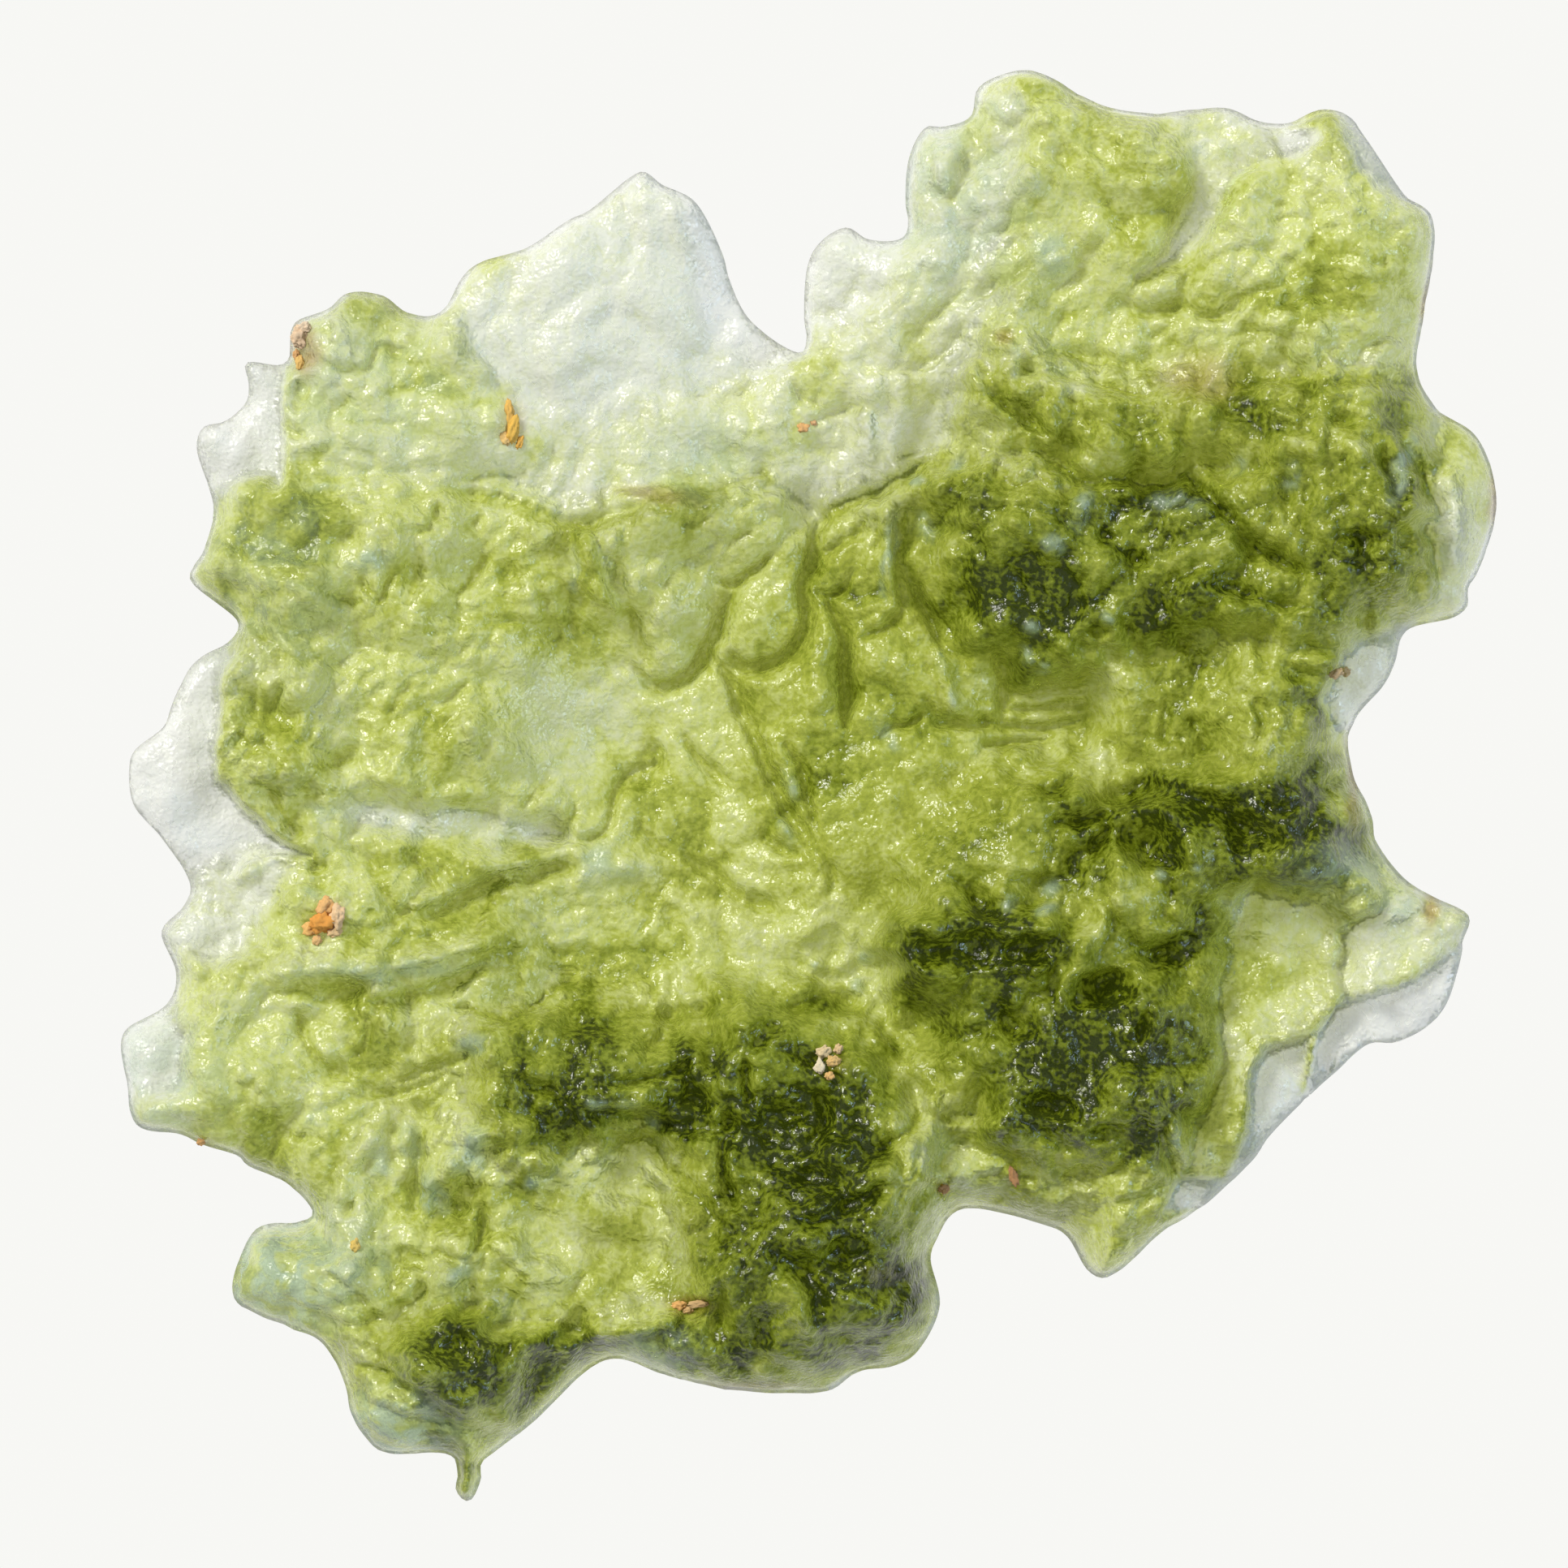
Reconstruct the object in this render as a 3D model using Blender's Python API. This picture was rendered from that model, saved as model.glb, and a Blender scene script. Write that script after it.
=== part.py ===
"""A moldavite: one piece of natural green glass, etched in the ground into a jagged plate.

The stone lies with its broad face up, on a small flat spot near the middle of its underside.
Metres, +Z up. Outline and relief are placed on a measuring grid laid over the broad face,
with its rows counted downwards; GRID_MM turns one step of it into millimetres.
"""

from typing import NamedTuple

import bmesh
import bpy
import numpy as np
from mathutils import Vector
from mathutils.geometry import delaunay_2d_cdt

METRE = 0.001
LENGTH_MM = 30.0
LENGTH_STEPS = 1772.0
GRID_MM = LENGTH_MM / LENGTH_STEPS
GRID_CENTRE = (998.0, 968.0)

BODY_MM = 2.5
RIM_MM = 0.30
RIM_ROUND_MM = 0.12
EDGE_RUN_SHARE = 0.42
EDGE_RUN_LEAST_MM = 0.45

REST_CENTRE_MM = (1.1, -0.5)
REST_HALF_MM = (3.6, 3.1)
KEEL_RISE_MM = 2.9
KEEL_REACH = 2.8
LOWER_SHARE = 0.32

FACET_MM = 0.74
LEAST_FADE_STEPS = 78.0
LEAST_CREST_STEPS = 27.0
SEED = 11

OUTLINE = (
    (288, 768), (227, 711), (233, 694), (246, 675), (257, 618), (240, 548), (249, 525), (274, 518),
    (301, 492), (304, 471), (301, 446), (344, 447), (351, 438), (354, 404), (361, 392), (402, 376),
    (425, 357), (467, 359), (498, 380), (537, 382), (579, 326), (649, 302), (699, 268), (722, 257),
    (775, 215), (792, 208), (815, 224), (854, 244), (890, 309), (898, 339), (925, 391), (988, 430),
    (994, 412), (991, 385), (1001, 307), (1043, 276), (1070, 291), (1108, 291), (1118, 282),
    (1120, 263), (1117, 247), (1122, 186), (1143, 150), (1162, 150), (1197, 139), (1207, 103),
    (1264, 82), (1364, 127), (1426, 136), (1474, 131), (1515, 130), (1555, 146), (1588, 147),
    (1632, 129), (1668, 144), (1680, 163), (1733, 237), (1757, 249), (1769, 261), (1771, 309),
    (1759, 395), (1752, 447), (1776, 500), (1826, 536), (1850, 620), (1826, 706), (1815, 722),
    (1814, 745), (1800, 758), (1737, 777), (1725, 815), (1712, 842), (1676, 890), (1676, 951),
    (1700, 1008), (1705, 1037), (1743, 1088), (1772, 1106), (1815, 1130), (1810, 1157),
    (1778, 1252), (1726, 1286), (1692, 1288), (1646, 1327), (1566, 1404), (1548, 1430),
    (1468, 1505), (1439, 1522), (1388, 1571), (1364, 1582), (1346, 1574), (1320, 1532),
    (1298, 1519), (1184, 1499), (1155, 1537), (1149, 1557), (1160, 1615), (1131, 1675),
    (1102, 1693), (1057, 1702), (1030, 1719), (1003, 1725), (914, 1720), (827, 1705), (758, 1684),
    (727, 1695), (657, 1757), (607, 1796), (590, 1810), (590, 1828), (578, 1853), (569, 1853),
    (559, 1839), (561, 1823), (552, 1799), (478, 1797), (460, 1790), (431, 1743), (422, 1708),
    (389, 1654), (353, 1640), (290, 1611), (282, 1591), (309, 1520), (328, 1512), (362, 1511),
    (380, 1501), (353, 1466), (299, 1439), (289, 1428), (242, 1411), (219, 1400), (166, 1388),
    (152, 1328), (146, 1288), (152, 1270), (201, 1238), (210, 1197), (194, 1149), (220, 1119),
    (229, 1099), (226, 1080), (195, 1032), (161, 990), (157, 940), (163, 925), (201, 893),
    (208, 871), (230, 823), (249, 806), (272, 793),
)


class Zone(NamedTuple):
    """A part of the plate with its own thickness, fading into what lies round it."""

    thickness_mm: float
    fade_steps: float
    ring: tuple


class Crest(NamedTuple):
    """A ridge (height above zero) or a groove (below zero) that runs along a path."""

    height_mm: float
    half_steps: float
    path: tuple


ZONES = (
    # thin upper left lobe, its clear right edge, the left shoulder and the pane beside it
    Zone(0.95, 70, ((575, 300), (700, 240), (800, 180), (900, 270), (950, 410), (1010, 480),
                    (900, 570), (760, 590), (620, 590), (560, 460))),
    Zone(0.60, 30, ((850, 225), (930, 390), (1000, 435), (940, 455), (870, 400), (835, 300))),
    Zone(1.75, 50, ((350, 380), (430, 340), (540, 370), (580, 480), (560, 570), (350, 560))),
    Zone(0.60, 20, ((220, 510), (300, 430), (352, 440), (352, 590), (290, 660), (230, 660))),
    # left margin, its clear tab and the two lobes under it
    Zone(1.30, 40, ((250, 640), (360, 600), (470, 620), (440, 700), (290, 770), (300, 850),
                    (240, 700))),
    Zone(1.90, 60, ((640, 640), (720, 640), (780, 900), (740, 1000), (660, 1000), (620, 900))),
    Zone(0.50, 22, ((140, 900), (215, 850), (240, 800), (280, 850), (255, 930), (375, 1050),
                    (240, 1110), (200, 1050), (140, 990))),
    Zone(1.00, 40, ((190, 1110), (370, 1080), (290, 1200), (300, 1260), (200, 1260))),
    Zone(1.15, 50, ((130, 1240), (300, 1210), (370, 1330), (300, 1380), (260, 1440), (140, 1400))),
    Zone(1.00, 35, ((270, 1500), (400, 1500), (440, 1640), (400, 1700), (270, 1640))),
    # foot at the lower left with its dark heart
    Zone(1.30, 40, ((400, 1660), (480, 1680), (560, 1740), (640, 1740), (560, 1830), (440, 1810))),
    Zone(3.90, 60, ((500, 1620), (640, 1600), (690, 1650), (600, 1700), (520, 1690))),
    # centre, and the thick body on its right
    Zone(3.40, 160, ((960, 700), (1180, 640), (1200, 900), (1180, 1060), (1000, 1100), (940, 900))),
    Zone(4.90, 110, ((1190, 470), (1400, 520), (1560, 560), (1700, 520), (1740, 640), (1690, 740),
                     (1380, 780), (1240, 760), (1180, 640))),
    Zone(3.70, 80, ((1380, 800), (1640, 800), (1660, 930), (1540, 960), (1360, 930))),
    Zone(5.40, 120, ((1160, 1080), (1300, 980), (1420, 960), (1620, 990), (1620, 1090),
                     (1500, 1120), (1480, 1350), (1400, 1440), (1260, 1420), (1130, 1200))),
    Zone(6.60, 60, ((1120, 1120), (1290, 1120), (1290, 1210), (1220, 1230), (1130, 1190))),
    Zone(6.20, 80, ((1230, 1250), (1420, 1190), (1440, 1330), (1360, 1400), (1240, 1400))),
    # south side, with a pale facet between two dark bands
    Zone(4.70, 100, ((880, 1220), (1080, 1280), (1120, 1420), (1100, 1600), (1060, 1660),
                     (940, 1660), (860, 1400))),
    Zone(4.30, 60, ((600, 1230), (680, 1280), (860, 1310), (880, 1400), (700, 1400), (620, 1370))),
    Zone(1.90, 50, ((720, 1420), (800, 1450), (850, 1520), (850, 1600), (760, 1620), (700, 1500))),
    # pale lower right margin and the clear wedge at its corner
    Zone(2.60, 60, ((1500, 1110), (1640, 1120), (1640, 1230), (1540, 1330), (1440, 1500),
                    (1300, 1510), (1300, 1460), (1470, 1440), (1500, 1200))),
    Zone(2.10, 50, ((1180, 1440), (1420, 1450), (1440, 1520), (1370, 1600), (1180, 1510))),
    Zone(1.20, 24, ((1650, 1150), (1760, 1090), (1830, 1120), (1800, 1190), (1660, 1240))),
    Zone(0.45, 14, ((1810, 1165), (1700, 1220), (1645, 1240), (1605, 1370), (1700, 1300),
                    (1800, 1290), (1830, 1200))),
    Zone(0.80, 20, ((1560, 1290), (1615, 1270), (1605, 1370), (1580, 1420), (1520, 1480),
                    (1430, 1490), (1545, 1340))),
    # right point and the shelf under it
    Zone(1.50, 50, ((1760, 500), (1860, 520), (1870, 680), (1830, 760), (1740, 790), (1760, 640))),
    Zone(1.30, 30, ((1650, 800), (1740, 770), (1730, 830), (1690, 880), (1640, 860))),
    # neck between the two upper lobes, and the upper right lobe with its pale streak
    Zone(1.35, 60, ((1000, 260), (1110, 270), (1110, 180), (1200, 110), (1260, 180), (1260, 330),
                    (1190, 440), (1060, 520), (980, 480))),
    Zone(3.00, 60, ((1300, 190), (1440, 190), (1450, 330), (1380, 360), (1300, 350))),
    Zone(1.60, 60, ((1450, 110), (1650, 110), (1790, 240), (1780, 340), (1640, 320), (1440, 320))),
    Zone(0.95, 24, ((1490, 150), (1560, 150), (1530, 230), (1490, 320), (1450, 335), (1480, 230))),
)

CRESTS = (
    # four finger grooves under the crease, and the valley that runs on from them
    Crest(-0.70, 22, ((905, 690), (880, 740), (845, 815), (800, 830))),
    Crest(-0.75, 22, ((1000, 650), (985, 730), (960, 800), (900, 820))),
    Crest(-0.80, 20, ((1020, 740), (1040, 800), (1045, 890))),
    Crest(-0.70, 22, ((1100, 640), (1130, 700), (1170, 790))),
    Crest(-0.65, 26, ((880, 800), (905, 860), (940, 950), (985, 1060))),
    # the long furrow on the left and the ridge under it
    Crest(-0.80, 28, ((480, 1070), (550, 1105), (640, 1068), (745, 1045))),
    Crest(0.50, 22, ((330, 1195), (480, 1195), (600, 1165))),
    Crest(-0.60, 30, ((380, 1225), (520, 1215), (640, 1245))),
    # branching ridge at the lower right and the knobs on it
    Crest(0.95, 30, ((1290, 1230), (1180, 1370), (1130, 1450), (1100, 1490))),
    Crest(0.90, 30, ((1290, 1230), (1340, 1140), (1400, 1000), (1450, 1010))),
    Crest(0.50, 26, ((1180, 1370), (1110, 1310))),
    Crest(0.50, 26, ((1280, 965), (1335, 930))),
    # the edge of the pale facet, and the swirl in the upper right lobe
    Crest(0.45, 24, ((740, 1380), (835, 1470), (868, 1600))),
    Crest(-0.45, 22, ((1380, 375), (1440, 360), (1480, 320), (1530, 230))),
    Crest(-0.40, 24, ((1300, 440), (1385, 445))),
    Crest(-0.60, 30, ((1130, 885), (1235, 890))),
)


def on_plate(steps):
    """Grid places as an array of X and Y in millimetres from the middle of the outline."""
    places = np.asarray(steps, float)
    x = (places[..., 0] - GRID_CENTRE[0]) * GRID_MM
    y = (GRID_CENTRE[1] - places[..., 1]) * GRID_MM
    return np.stack([x, y], axis=-1)


def rounded_loop(knots, spacing):
    """A closed centripetal spline through the knots, cut into even lengths."""
    dense = []
    share = np.linspace(0, 1, 16, endpoint=False)[:, None]
    before, here = np.roll(knots, 1, axis=0), knots
    after, beyond = np.roll(knots, -1, axis=0), np.roll(knots, -2, axis=0)
    for p0, p1, p2, p3 in zip(before, here, after, beyond):
        k0, k1, k2 = (np.linalg.norm(b - a) ** 0.5 for a, b in ((p0, p1), (p1, p2), (p2, p3)))
        t0, t1, t2, t3 = -k0, 0.0, k1, k1 + k2
        t = share * k1
        a1 = (t1 - t) / (t1 - t0) * p0 + (t - t0) / (t1 - t0) * p1
        a2 = (t2 - t) / (t2 - t1) * p1 + (t - t1) / (t2 - t1) * p2
        a3 = (t3 - t) / (t3 - t2) * p2 + (t - t2) / (t3 - t2) * p3
        b1 = (t2 - t) / (t2 - t0) * a1 + (t - t0) / (t2 - t0) * a2
        b2 = (t3 - t) / (t3 - t1) * a2 + (t - t1) / (t3 - t1) * a3
        dense.append((t2 - t) / (t2 - t1) * b1 + (t - t1) / (t2 - t1) * b2)
    loop = np.concatenate(dense)
    closed = np.vstack([loop, loop[:1]])
    along = np.concatenate([[0], np.cumsum(np.linalg.norm(np.diff(closed, axis=0), axis=1))])
    count = round(along[-1] / spacing)
    at = np.linspace(0, along[-1], count, endpoint=False)
    return np.stack([np.interp(at, along, closed[:, k]) for k in (0, 1)], axis=1)


def pulled_in(ring, by):
    """The ring moved inwards, square to its own run. The ring goes round clockwise."""
    run = np.roll(ring, -1, axis=0) - np.roll(ring, 1, axis=0)
    run /= np.linalg.norm(run, axis=1)[:, None]
    return ring + by * np.stack([run[:, 1], -run[:, 0]], axis=1)


def path_distance(places, path):
    """How far each place is from an open path of straight runs."""
    nearest = np.full(len(places), np.inf)
    for start, end in zip(path[:-1], path[1:]):
        run = end - start
        share = np.clip((places - start) @ run / (run @ run), 0, 1)
        nearest = np.minimum(nearest, np.linalg.norm(places - start - share[:, None] * run, axis=1))
    return nearest


def depth_inside(places, ring):
    """Distance to a closed ring: above zero inside it, below zero outside."""
    inside = np.zeros(len(places), bool)
    x, y = places.T
    for (x0, y0), (x1, y1) in zip(ring, np.roll(ring, -1, axis=0)):
        if y0 != y1:
            crosses = (y0 > y) != (y1 > y)
            inside ^= crosses & (x < (x1 - x0) * (y - y0) / (y1 - y0) + x0)
    distance = path_distance(places, np.vstack([ring, ring[:1]]))
    return np.where(inside, distance, -distance)


def eased(share):
    """A share of 0 to 1, with a soft start and a soft end."""
    share = np.clip(share, 0, 1)
    return share * share * (3 - 2 * share)


def zoned_thickness(places):
    """Thickness in millimetres from the zones alone."""
    thickness = np.full(len(places), BODY_MM)
    for zone in ZONES:
        fade = max(zone.fade_steps, LEAST_FADE_STEPS) * GRID_MM
        weight = eased(0.5 + depth_inside(places, on_plate(zone.ring)) / fade)
        thickness += (zone.thickness_mm - thickness) * weight
    return thickness


def crested(places):
    """Height in millimetres: the highest ridge here added, the deepest groove taken off."""
    raised, sunk = np.zeros(len(places)), np.zeros(len(places))
    for crest in CRESTS:
        half = max(crest.half_steps, LEAST_CREST_STEPS) * GRID_MM
        far = path_distance(places, on_plate(crest.path)) / half
        height = crest.height_mm * np.exp(-far * far)
        raised, sunk = np.maximum(raised, height), np.minimum(sunk, height)
    return raised + sunk


def round_shoulder(thickness, depth):
    """The thickness let down to the rim's along a round shoulder."""
    thickness = np.maximum(thickness, RIM_MM)
    run = EDGE_RUN_LEAST_MM + EDGE_RUN_SHARE * thickness
    share = 1 - np.clip(depth / run, 0, 1)
    return RIM_MM + (thickness - RIM_MM) * np.sqrt(1 - share * share)


def underside(places, thickness):
    """Height of the underside: flat on the resting spot, then rising in low swells.

    Away from the spot the thick zones reach lower than the thin ones.
    """
    out = (places - REST_CENTRE_MM) / REST_HALF_MM
    beyond = np.maximum(np.linalg.norm(out, axis=1) - 1, 0)
    x, y = places.T
    swell = 0.30 * np.sin(0.83 * x + 0.6 * np.sin(0.41 * y)) * np.sin(0.71 * y + 0.9)
    swell += 0.14 * np.sin(1.9 * x + 1.3 * y) * np.cos(1.6 * y - 0.8 * x + 0.4)
    keel = KEEL_RISE_MM * (1 - np.exp(-((beyond / KEEL_REACH) ** 1.2)))
    lift = keel + swell + 0.40 + LOWER_SHARE * (BODY_MM - thickness)
    return eased(beyond / 1.5) * np.maximum(lift, 0.15)


def inner_places(ring, rng):
    """A loose triangular lattice that fills the ring."""
    low, high = ring.min(axis=0), ring.max(axis=0)
    rows = np.arange(low[1], high[1], FACET_MM * 0.866)
    columns = np.arange(low[0], high[0], FACET_MM)
    grid = np.array([(x + FACET_MM * 0.5 * (k % 2), y) for k, y in enumerate(rows) for x in columns])
    grid += rng.uniform(-0.16, 0.16, grid.shape) * FACET_MM
    return grid[depth_inside(grid, ring) > 0.55 * FACET_MM]


def stone_mesh():
    """The whole skin: upper sheet, rounded rim and underside, closed."""
    rim = rounded_loop(on_plate(OUTLINE), FACET_MM * 0.8)
    ring = pulled_in(rim, RIM_ROUND_MM)
    places = np.vstack([ring, inner_places(ring, np.random.default_rng(SEED))])
    count = len(ring)
    flat, _, faces, origins, _, _ = delaunay_2d_cdt(
        [Vector(p) for p in places], [], [list(range(count))], 1, 1e-6
    )
    flat = np.array([tuple(p) for p in flat])
    ring_at = {origin: k for k, found in enumerate(origins) for origin in found if origin < count}
    depth = np.maximum(depth_inside(flat, ring), 0)
    thickness = zoned_thickness(flat)
    low = underside(flat, thickness)
    high = low + round_shoulder(thickness + crested(flat), depth)
    rim_height = np.array([(low[ring_at[k]] + high[ring_at[k]]) / 2 for k in range(count)])

    mesh = bmesh.new()
    upper = [mesh.verts.new((*p, z)) for p, z in zip(flat, high)]
    lower = [mesh.verts.new((*p, z)) for p, z in zip(flat, low)]
    outer = [mesh.verts.new((*p, z)) for p, z in zip(rim, rim_height)]
    for a, b, c in faces:
        mesh.faces.new((upper[a], upper[b], upper[c]))
        mesh.faces.new((lower[c], lower[b], lower[a]))
    for k in range(count):
        after = (k + 1) % count
        here, there = ring_at[k], ring_at[after]
        mesh.faces.new((outer[k], outer[after], upper[there], upper[here]))
        mesh.faces.new((lower[here], lower[there], outer[after], outer[k]))
    bmesh.ops.triangulate(mesh, faces=mesh.faces)
    bmesh.ops.recalc_face_normals(mesh, faces=mesh.faces)
    return mesh


def set_down(mesh):
    """Puts the middle of the stone's box over the origin and its flat spot on zero, in metres."""
    spots = np.array([vert.co for vert in mesh.verts])
    low, high = spots.min(axis=0), spots.max(axis=0)
    middle = Vector(((low[0] + high[0]) / 2, (low[1] + high[1]) / 2, low[2]))
    for vert in mesh.verts:
        vert.co = (vert.co - middle) * METRE


def green_glass():
    """Plain stand-in for the olive glass."""
    material = bpy.data.materials.new("moldavite_glass")
    material.use_nodes = True
    shader = material.node_tree.nodes["Principled BSDF"]
    shader.inputs["Base Color"].default_value = (0.27, 0.31, 0.07, 1)
    shader.inputs["Roughness"].default_value = 0.22
    shader.inputs["Metallic"].default_value = 0.0
    return material


def main():
    """Clears the scene and makes the stone."""
    for old in list(bpy.data.objects):
        bpy.data.objects.remove(old, do_unlink=True)
    mesh = stone_mesh()
    set_down(mesh)
    data = bpy.data.meshes.new("moldavite")
    mesh.to_mesh(data)
    mesh.free()
    data.materials.append(green_glass())
    data.shade_smooth()
    bpy.context.scene.collection.objects.link(bpy.data.objects.new("moldavite", data))


main()
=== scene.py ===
"""A moldavite on a white opal sheet, seen from straight above under a soft studio tent.

The stone is one piece of natural green glass. Its skin is built as an upper and a lower sheet
over the outline, joined by a rounded rim, and a few grains of clay sit in its pits. Outline and
relief are placed on a measuring grid laid over the broad face, rows counted downwards. A step of
the grid is 0.0169 mm.
"""

import logging
import math
from dataclasses import dataclass, field
from enum import Enum

import bmesh
import bpy
import numpy as np
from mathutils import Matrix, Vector, noise
from mathutils.geometry import delaunay_2d_cdt


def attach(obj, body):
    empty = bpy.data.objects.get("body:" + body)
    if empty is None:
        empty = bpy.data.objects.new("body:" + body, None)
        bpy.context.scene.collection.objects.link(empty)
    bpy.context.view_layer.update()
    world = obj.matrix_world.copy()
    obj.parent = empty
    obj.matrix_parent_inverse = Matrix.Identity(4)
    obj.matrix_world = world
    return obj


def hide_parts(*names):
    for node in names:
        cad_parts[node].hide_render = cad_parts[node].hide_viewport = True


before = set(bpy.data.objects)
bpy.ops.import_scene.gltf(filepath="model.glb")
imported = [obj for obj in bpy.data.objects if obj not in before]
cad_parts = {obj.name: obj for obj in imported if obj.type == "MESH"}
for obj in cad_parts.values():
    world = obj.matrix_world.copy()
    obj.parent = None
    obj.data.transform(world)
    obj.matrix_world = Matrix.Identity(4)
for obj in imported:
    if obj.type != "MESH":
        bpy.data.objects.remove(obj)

log = logging.getLogger("moldavite")

BODY = "root"
NODE = "moldavite"

# a millimetre in metres
MM = 0.001
LENGTH_MM = 30.0
LENGTH_STEPS = 1772.0
GRID_MM = LENGTH_MM / LENGTH_STEPS
GRID_CENTRE = (998.0, 968.0)
PHOTO_STEPS = 1932.0

# the mesh attribute that says how deep the green looks, painted shade and highlights included, and what
# it stands for when it is one
GREEN_WITH_PAINTED_LIGHT = "green_depth_with_painted_light"
DEEPEST_MM = 7.0

# curves: points to a stretch of a closed outline and of an open path
LOOP_CUTS = 16
PATH_CUTS = 5
# etched cups: how fast their sides rise, where they level out, and their mean height
CUP_RISE = 2.2
CUP_TOP = 1.4
CUP_MEAN = 0.45
# rows of a triangular lattice, as a share of a triangle's side
LATTICE_ROW = 0.866

Places = np.ndarray
Triangles = list[tuple[int, ...]]
Spot = tuple[float, float]
Path = tuple[Spot, ...]

OUTLINE: Path = (
    (288, 768), (227, 711), (233, 694), (246, 675), (257, 618), (240, 548), (249, 525), (274, 518),
    (301, 492), (304, 471), (301, 446), (344, 447), (351, 438), (354, 404), (361, 392), (402, 376),
    (425, 357), (467, 359), (498, 380), (537, 382), (579, 326), (649, 302), (699, 268), (722, 257),
    (775, 215), (792, 208), (815, 224), (854, 244), (890, 309), (898, 339), (925, 391), (988, 430),
    (994, 412), (991, 385), (1001, 307), (1043, 276), (1070, 291), (1108, 291), (1118, 282),
    (1120, 263), (1117, 247), (1122, 186), (1143, 150), (1162, 150), (1197, 139), (1207, 103),
    (1264, 82), (1364, 127), (1426, 136), (1474, 131), (1515, 130), (1555, 146), (1588, 147),
    (1632, 129), (1668, 144), (1680, 163), (1733, 237), (1757, 249), (1769, 261), (1771, 309),
    (1759, 395), (1752, 447), (1776, 500), (1826, 536), (1850, 620), (1826, 706), (1815, 722),
    (1814, 745), (1800, 758), (1737, 777), (1725, 815), (1712, 842), (1676, 890), (1676, 951),
    (1700, 1008), (1705, 1037), (1743, 1088), (1772, 1106), (1815, 1130), (1810, 1157),
    (1778, 1252), (1726, 1286), (1692, 1288), (1646, 1327), (1566, 1404), (1548, 1430),
    (1468, 1505), (1439, 1522), (1388, 1571), (1364, 1582), (1346, 1574), (1320, 1532),
    (1298, 1519), (1184, 1499), (1155, 1537), (1149, 1557), (1160, 1615), (1131, 1675),
    (1102, 1693), (1057, 1702), (1030, 1719), (1003, 1725), (914, 1720), (827, 1705), (758, 1684),
    (727, 1695), (657, 1757), (607, 1796), (590, 1810), (590, 1828), (578, 1853), (569, 1853),
    (559, 1839), (561, 1823), (552, 1799), (478, 1797), (460, 1790), (431, 1743), (422, 1708),
    (389, 1654), (353, 1640), (290, 1611), (282, 1591), (309, 1520), (328, 1512), (362, 1511),
    (380, 1501), (353, 1466), (299, 1439), (289, 1428), (242, 1411), (219, 1400), (166, 1388),
    (152, 1328), (146, 1288), (152, 1270), (201, 1238), (210, 1197), (194, 1149), (220, 1119),
    (229, 1099), (226, 1080), (195, 1032), (161, 990), (157, 940), (163, 925), (201, 893),
    (208, 871), (230, 823), (249, 806), (272, 793),
)


class FilmOrGlint(Enum):
    """A soil stain or painted glints on a patch of the skin, and the mesh attribute that carries it."""

    IRON = "iron_film"
    GLINT = "painted_glint"


@dataclass(frozen=True)
class Zone:
    """A part of the plate with its own thickness, fading into what lies round it."""

    thickness_mm: float
    fade_steps: float
    ring: Path


@dataclass(frozen=True)
class Crest:
    """A ridge (above zero) or groove (below zero) along a path.

    A lean above zero makes it wider on the left of its path and steeper on the right.
    """

    height_mm: float
    half_steps: float
    path: Path
    lean: float = 0.0


@dataclass(frozen=True)
class Oval:
    """An oval place on the face: the amount of what it holds, its half widths and its turn."""

    amount: float
    long_steps: float
    short_steps: float
    centre: Spot
    turn_deg: float = 0.0


@dataclass(frozen=True)
class Crumb:
    """A grain of clay stuck in the relief: its place, its half widths and its colour."""

    centre: Spot
    long_steps: float
    short_steps: float
    colour: str
    turn_deg: float = 0.0


def ovals(*rows: tuple) -> tuple[Oval, ...]:
    """Makes ovals of rows with an amount, two half widths, a centre and perhaps a turn."""
    return tuple(Oval(*row) for row in rows)


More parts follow.
